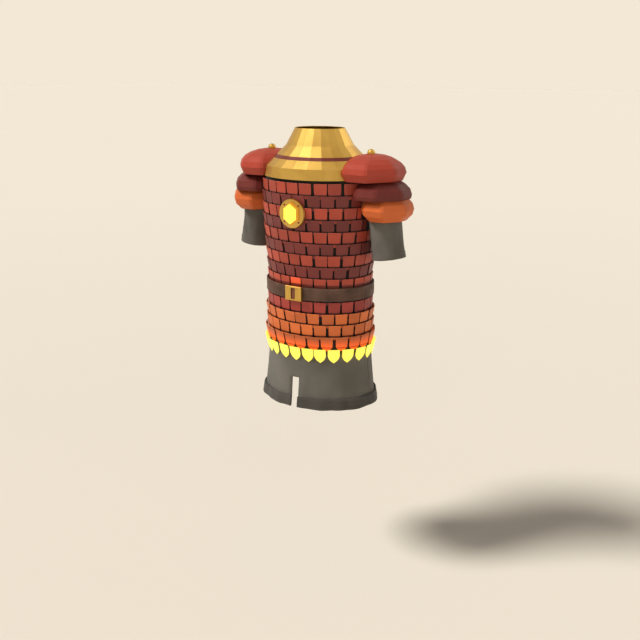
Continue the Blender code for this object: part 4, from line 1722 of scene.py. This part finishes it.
@dataclass(frozen=True)
class Lamp:
    """A far lamp: where its light comes from, how strong it is and how wide it looks, in degrees.

    A lamp may light matt surfaces alone, or show in polished ones alone.
    """

    name: str
    source: Point
    strength: float
    width: float
    matt: bool = True
    polished: bool = True

    def hang(self) -> None:
        """Hang the lamp."""
        data = bpy.data.lights.new(self.name, "SUN")
        data.energy = self.strength
        data.angle = math.radians(self.width)
        piece = link(self.name, data)
        piece.rotation_euler = Vector(self.source).to_track_quat("Z", "Y").to_euler()
        piece.visible_diffuse = self.matt
        piece.visible_glossy = self.polished


@dataclass
class Studio:
    """The pale floor, the soft light and the camera.

    The sky is dim, so that the key lamp makes a shadow. Seen directly it is as pale as the floor,
    and polished brass mirrors it nearly as pale. The key lamp's shine is a wider lamp of its own,
    and the rim lamp shows in polished parts alone.
    """

    floor_height: float = -1.400
    floor_half: float = 60.0
    camera_place: Point = (1.540, -2.427, 0.305)
    camera_aim: Point = (0.0, 0.0, -0.522)
    lens: float = 50.0
    sensor: float = 36.0
    view_end: float = 200.0
    lamps: tuple[Lamp, ...] = (
        Lamp("key", (-0.70, -0.72, 1.15), 3.1, 14, polished=False),
        Lamp("gloss", (-0.44, -0.42, 0.82), 1.15, 46, matt=False),
        Lamp("fill", (0.90, -0.80, 0.20), 1.0, 80, polished=False),
        Lamp("rim", (0.44, 0.78, 0.45), 0.45, 42, matt=False),
    )
    backdrop: str = "f2e8d5"
    sky: str = "fffdf8"
    sky_strength: float = 0.18
    mirrored: float = 0.75

    def floor(self) -> None:
        """Lay the floor."""
        half = self.floor_half
        corners = [(-half, -half), (half, -half), (half, half), (-half, half)]
        mesh = bpy.data.meshes.new("floor")
        mesh.from_pydata([(x, y, self.floor_height) for x, y in corners], [], [(0, 1, 2, 3)])
        mesh.materials.append(PALE_FLOOR.material())
        link("floor", mesh)

    def camera(self) -> None:
        """Set up the camera at the photograph's angle."""
        data = bpy.data.cameras.new("camera")
        data.lens = self.lens
        data.sensor_width = self.sensor
        data.clip_end = self.view_end
        piece = link("camera", data)
        piece.location = self.camera_place
        aim = Vector(self.camera_aim) - Vector(self.camera_place)
        piece.rotation_euler = aim.to_track_quat("-Z", "Y").to_euler()
        bpy.context.scene.camera = piece

    def sky_light(self) -> None:
        """Set the even sky."""
        world = bpy.data.worlds.new("sky")
        world.use_nodes = True
        graph = Graph(world.node_tree)
        lit = world.node_tree.nodes["Background"]
        graph.feed(lit.inputs["Color"], linear(self.sky))
        graph.feed(lit.inputs["Strength"], self.sky_strength)
        seen = graph.add("ShaderNodeBackground", {"Color": linear(self.backdrop)}).outputs[0]
        path = graph.add("ShaderNodeLightPath").outputs
        sockets = {0: path["Is Glossy Ray"], 1: self.mirrored}
        mirror = graph.add("ShaderNodeMath", sockets, operation="MULTIPLY").outputs[0]
        sockets = {0: path["Is Camera Ray"], 1: mirror}
        share = graph.add("ShaderNodeMath", sockets, operation="MAXIMUM").outputs[0]
        both = graph.add("ShaderNodeMixShader", {0: share, 1: lit.outputs[0], 2: seen}).outputs[0]
        graph.feed(world.node_tree.nodes["World Output"].inputs["Surface"], both)
        bpy.context.scene.world = world

    def build(self) -> None:
        """Make the studio."""
        self.camera()
        self.floor()
        for lamp in self.lamps:
            lamp.hang()
        self.sky_light()
        bpy.context.scene.view_settings.view_transform = "Standard"


LEFT_FOLDS = (
    (300.0, 40.0, 0.35, 13.0, -0.0034),
    (342.0, -30.0, 0.55, 12.0, -0.0029),
    (20.0, 25.0, 0.40, 14.0, -0.0030),
    (80.0, -35.0, 0.50, 13.0, -0.0033),
    (150.0, 20.0, 0.45, 12.0, -0.0015),
    (262.0, 18.0, 0.70, 10.0, 0.0009),
)
RIGHT_FOLDS = (
    (285.0, -32.0, 0.45, 13.0, -0.0033),
    (325.0, 28.0, 0.35, 11.0, -0.0028),
    (8.0, -24.0, 0.60, 14.0, -0.0027),
    (62.0, 30.0, 0.40, 13.0, -0.0034),
    (115.0, -26.0, 0.55, 12.0, -0.0018),
    (245.0, 20.0, 0.65, 10.0, 0.0008),
)


def main() -> None:
    """Build the armour in order."""
    logging.basicConfig(level=logging.INFO, format="%(message)s")
    Studio().build()
    form, sewing = GarmentForm(), Sewing()
    Tunic(form, sewing).build()
    Sleeve(Side.LEFT, form, sewing, folds=LEFT_FOLDS).build()
    Sleeve(Side.RIGHT, form, sewing, folds=RIGHT_FOLDS).build()
    Gorget().build()
    ScaleRows(form).build()
    Belt(form, sewing).build()
    Brooch().build()
    for side in Side:
        Pauldron(side).build()


if __name__ == "__main__":
    main()
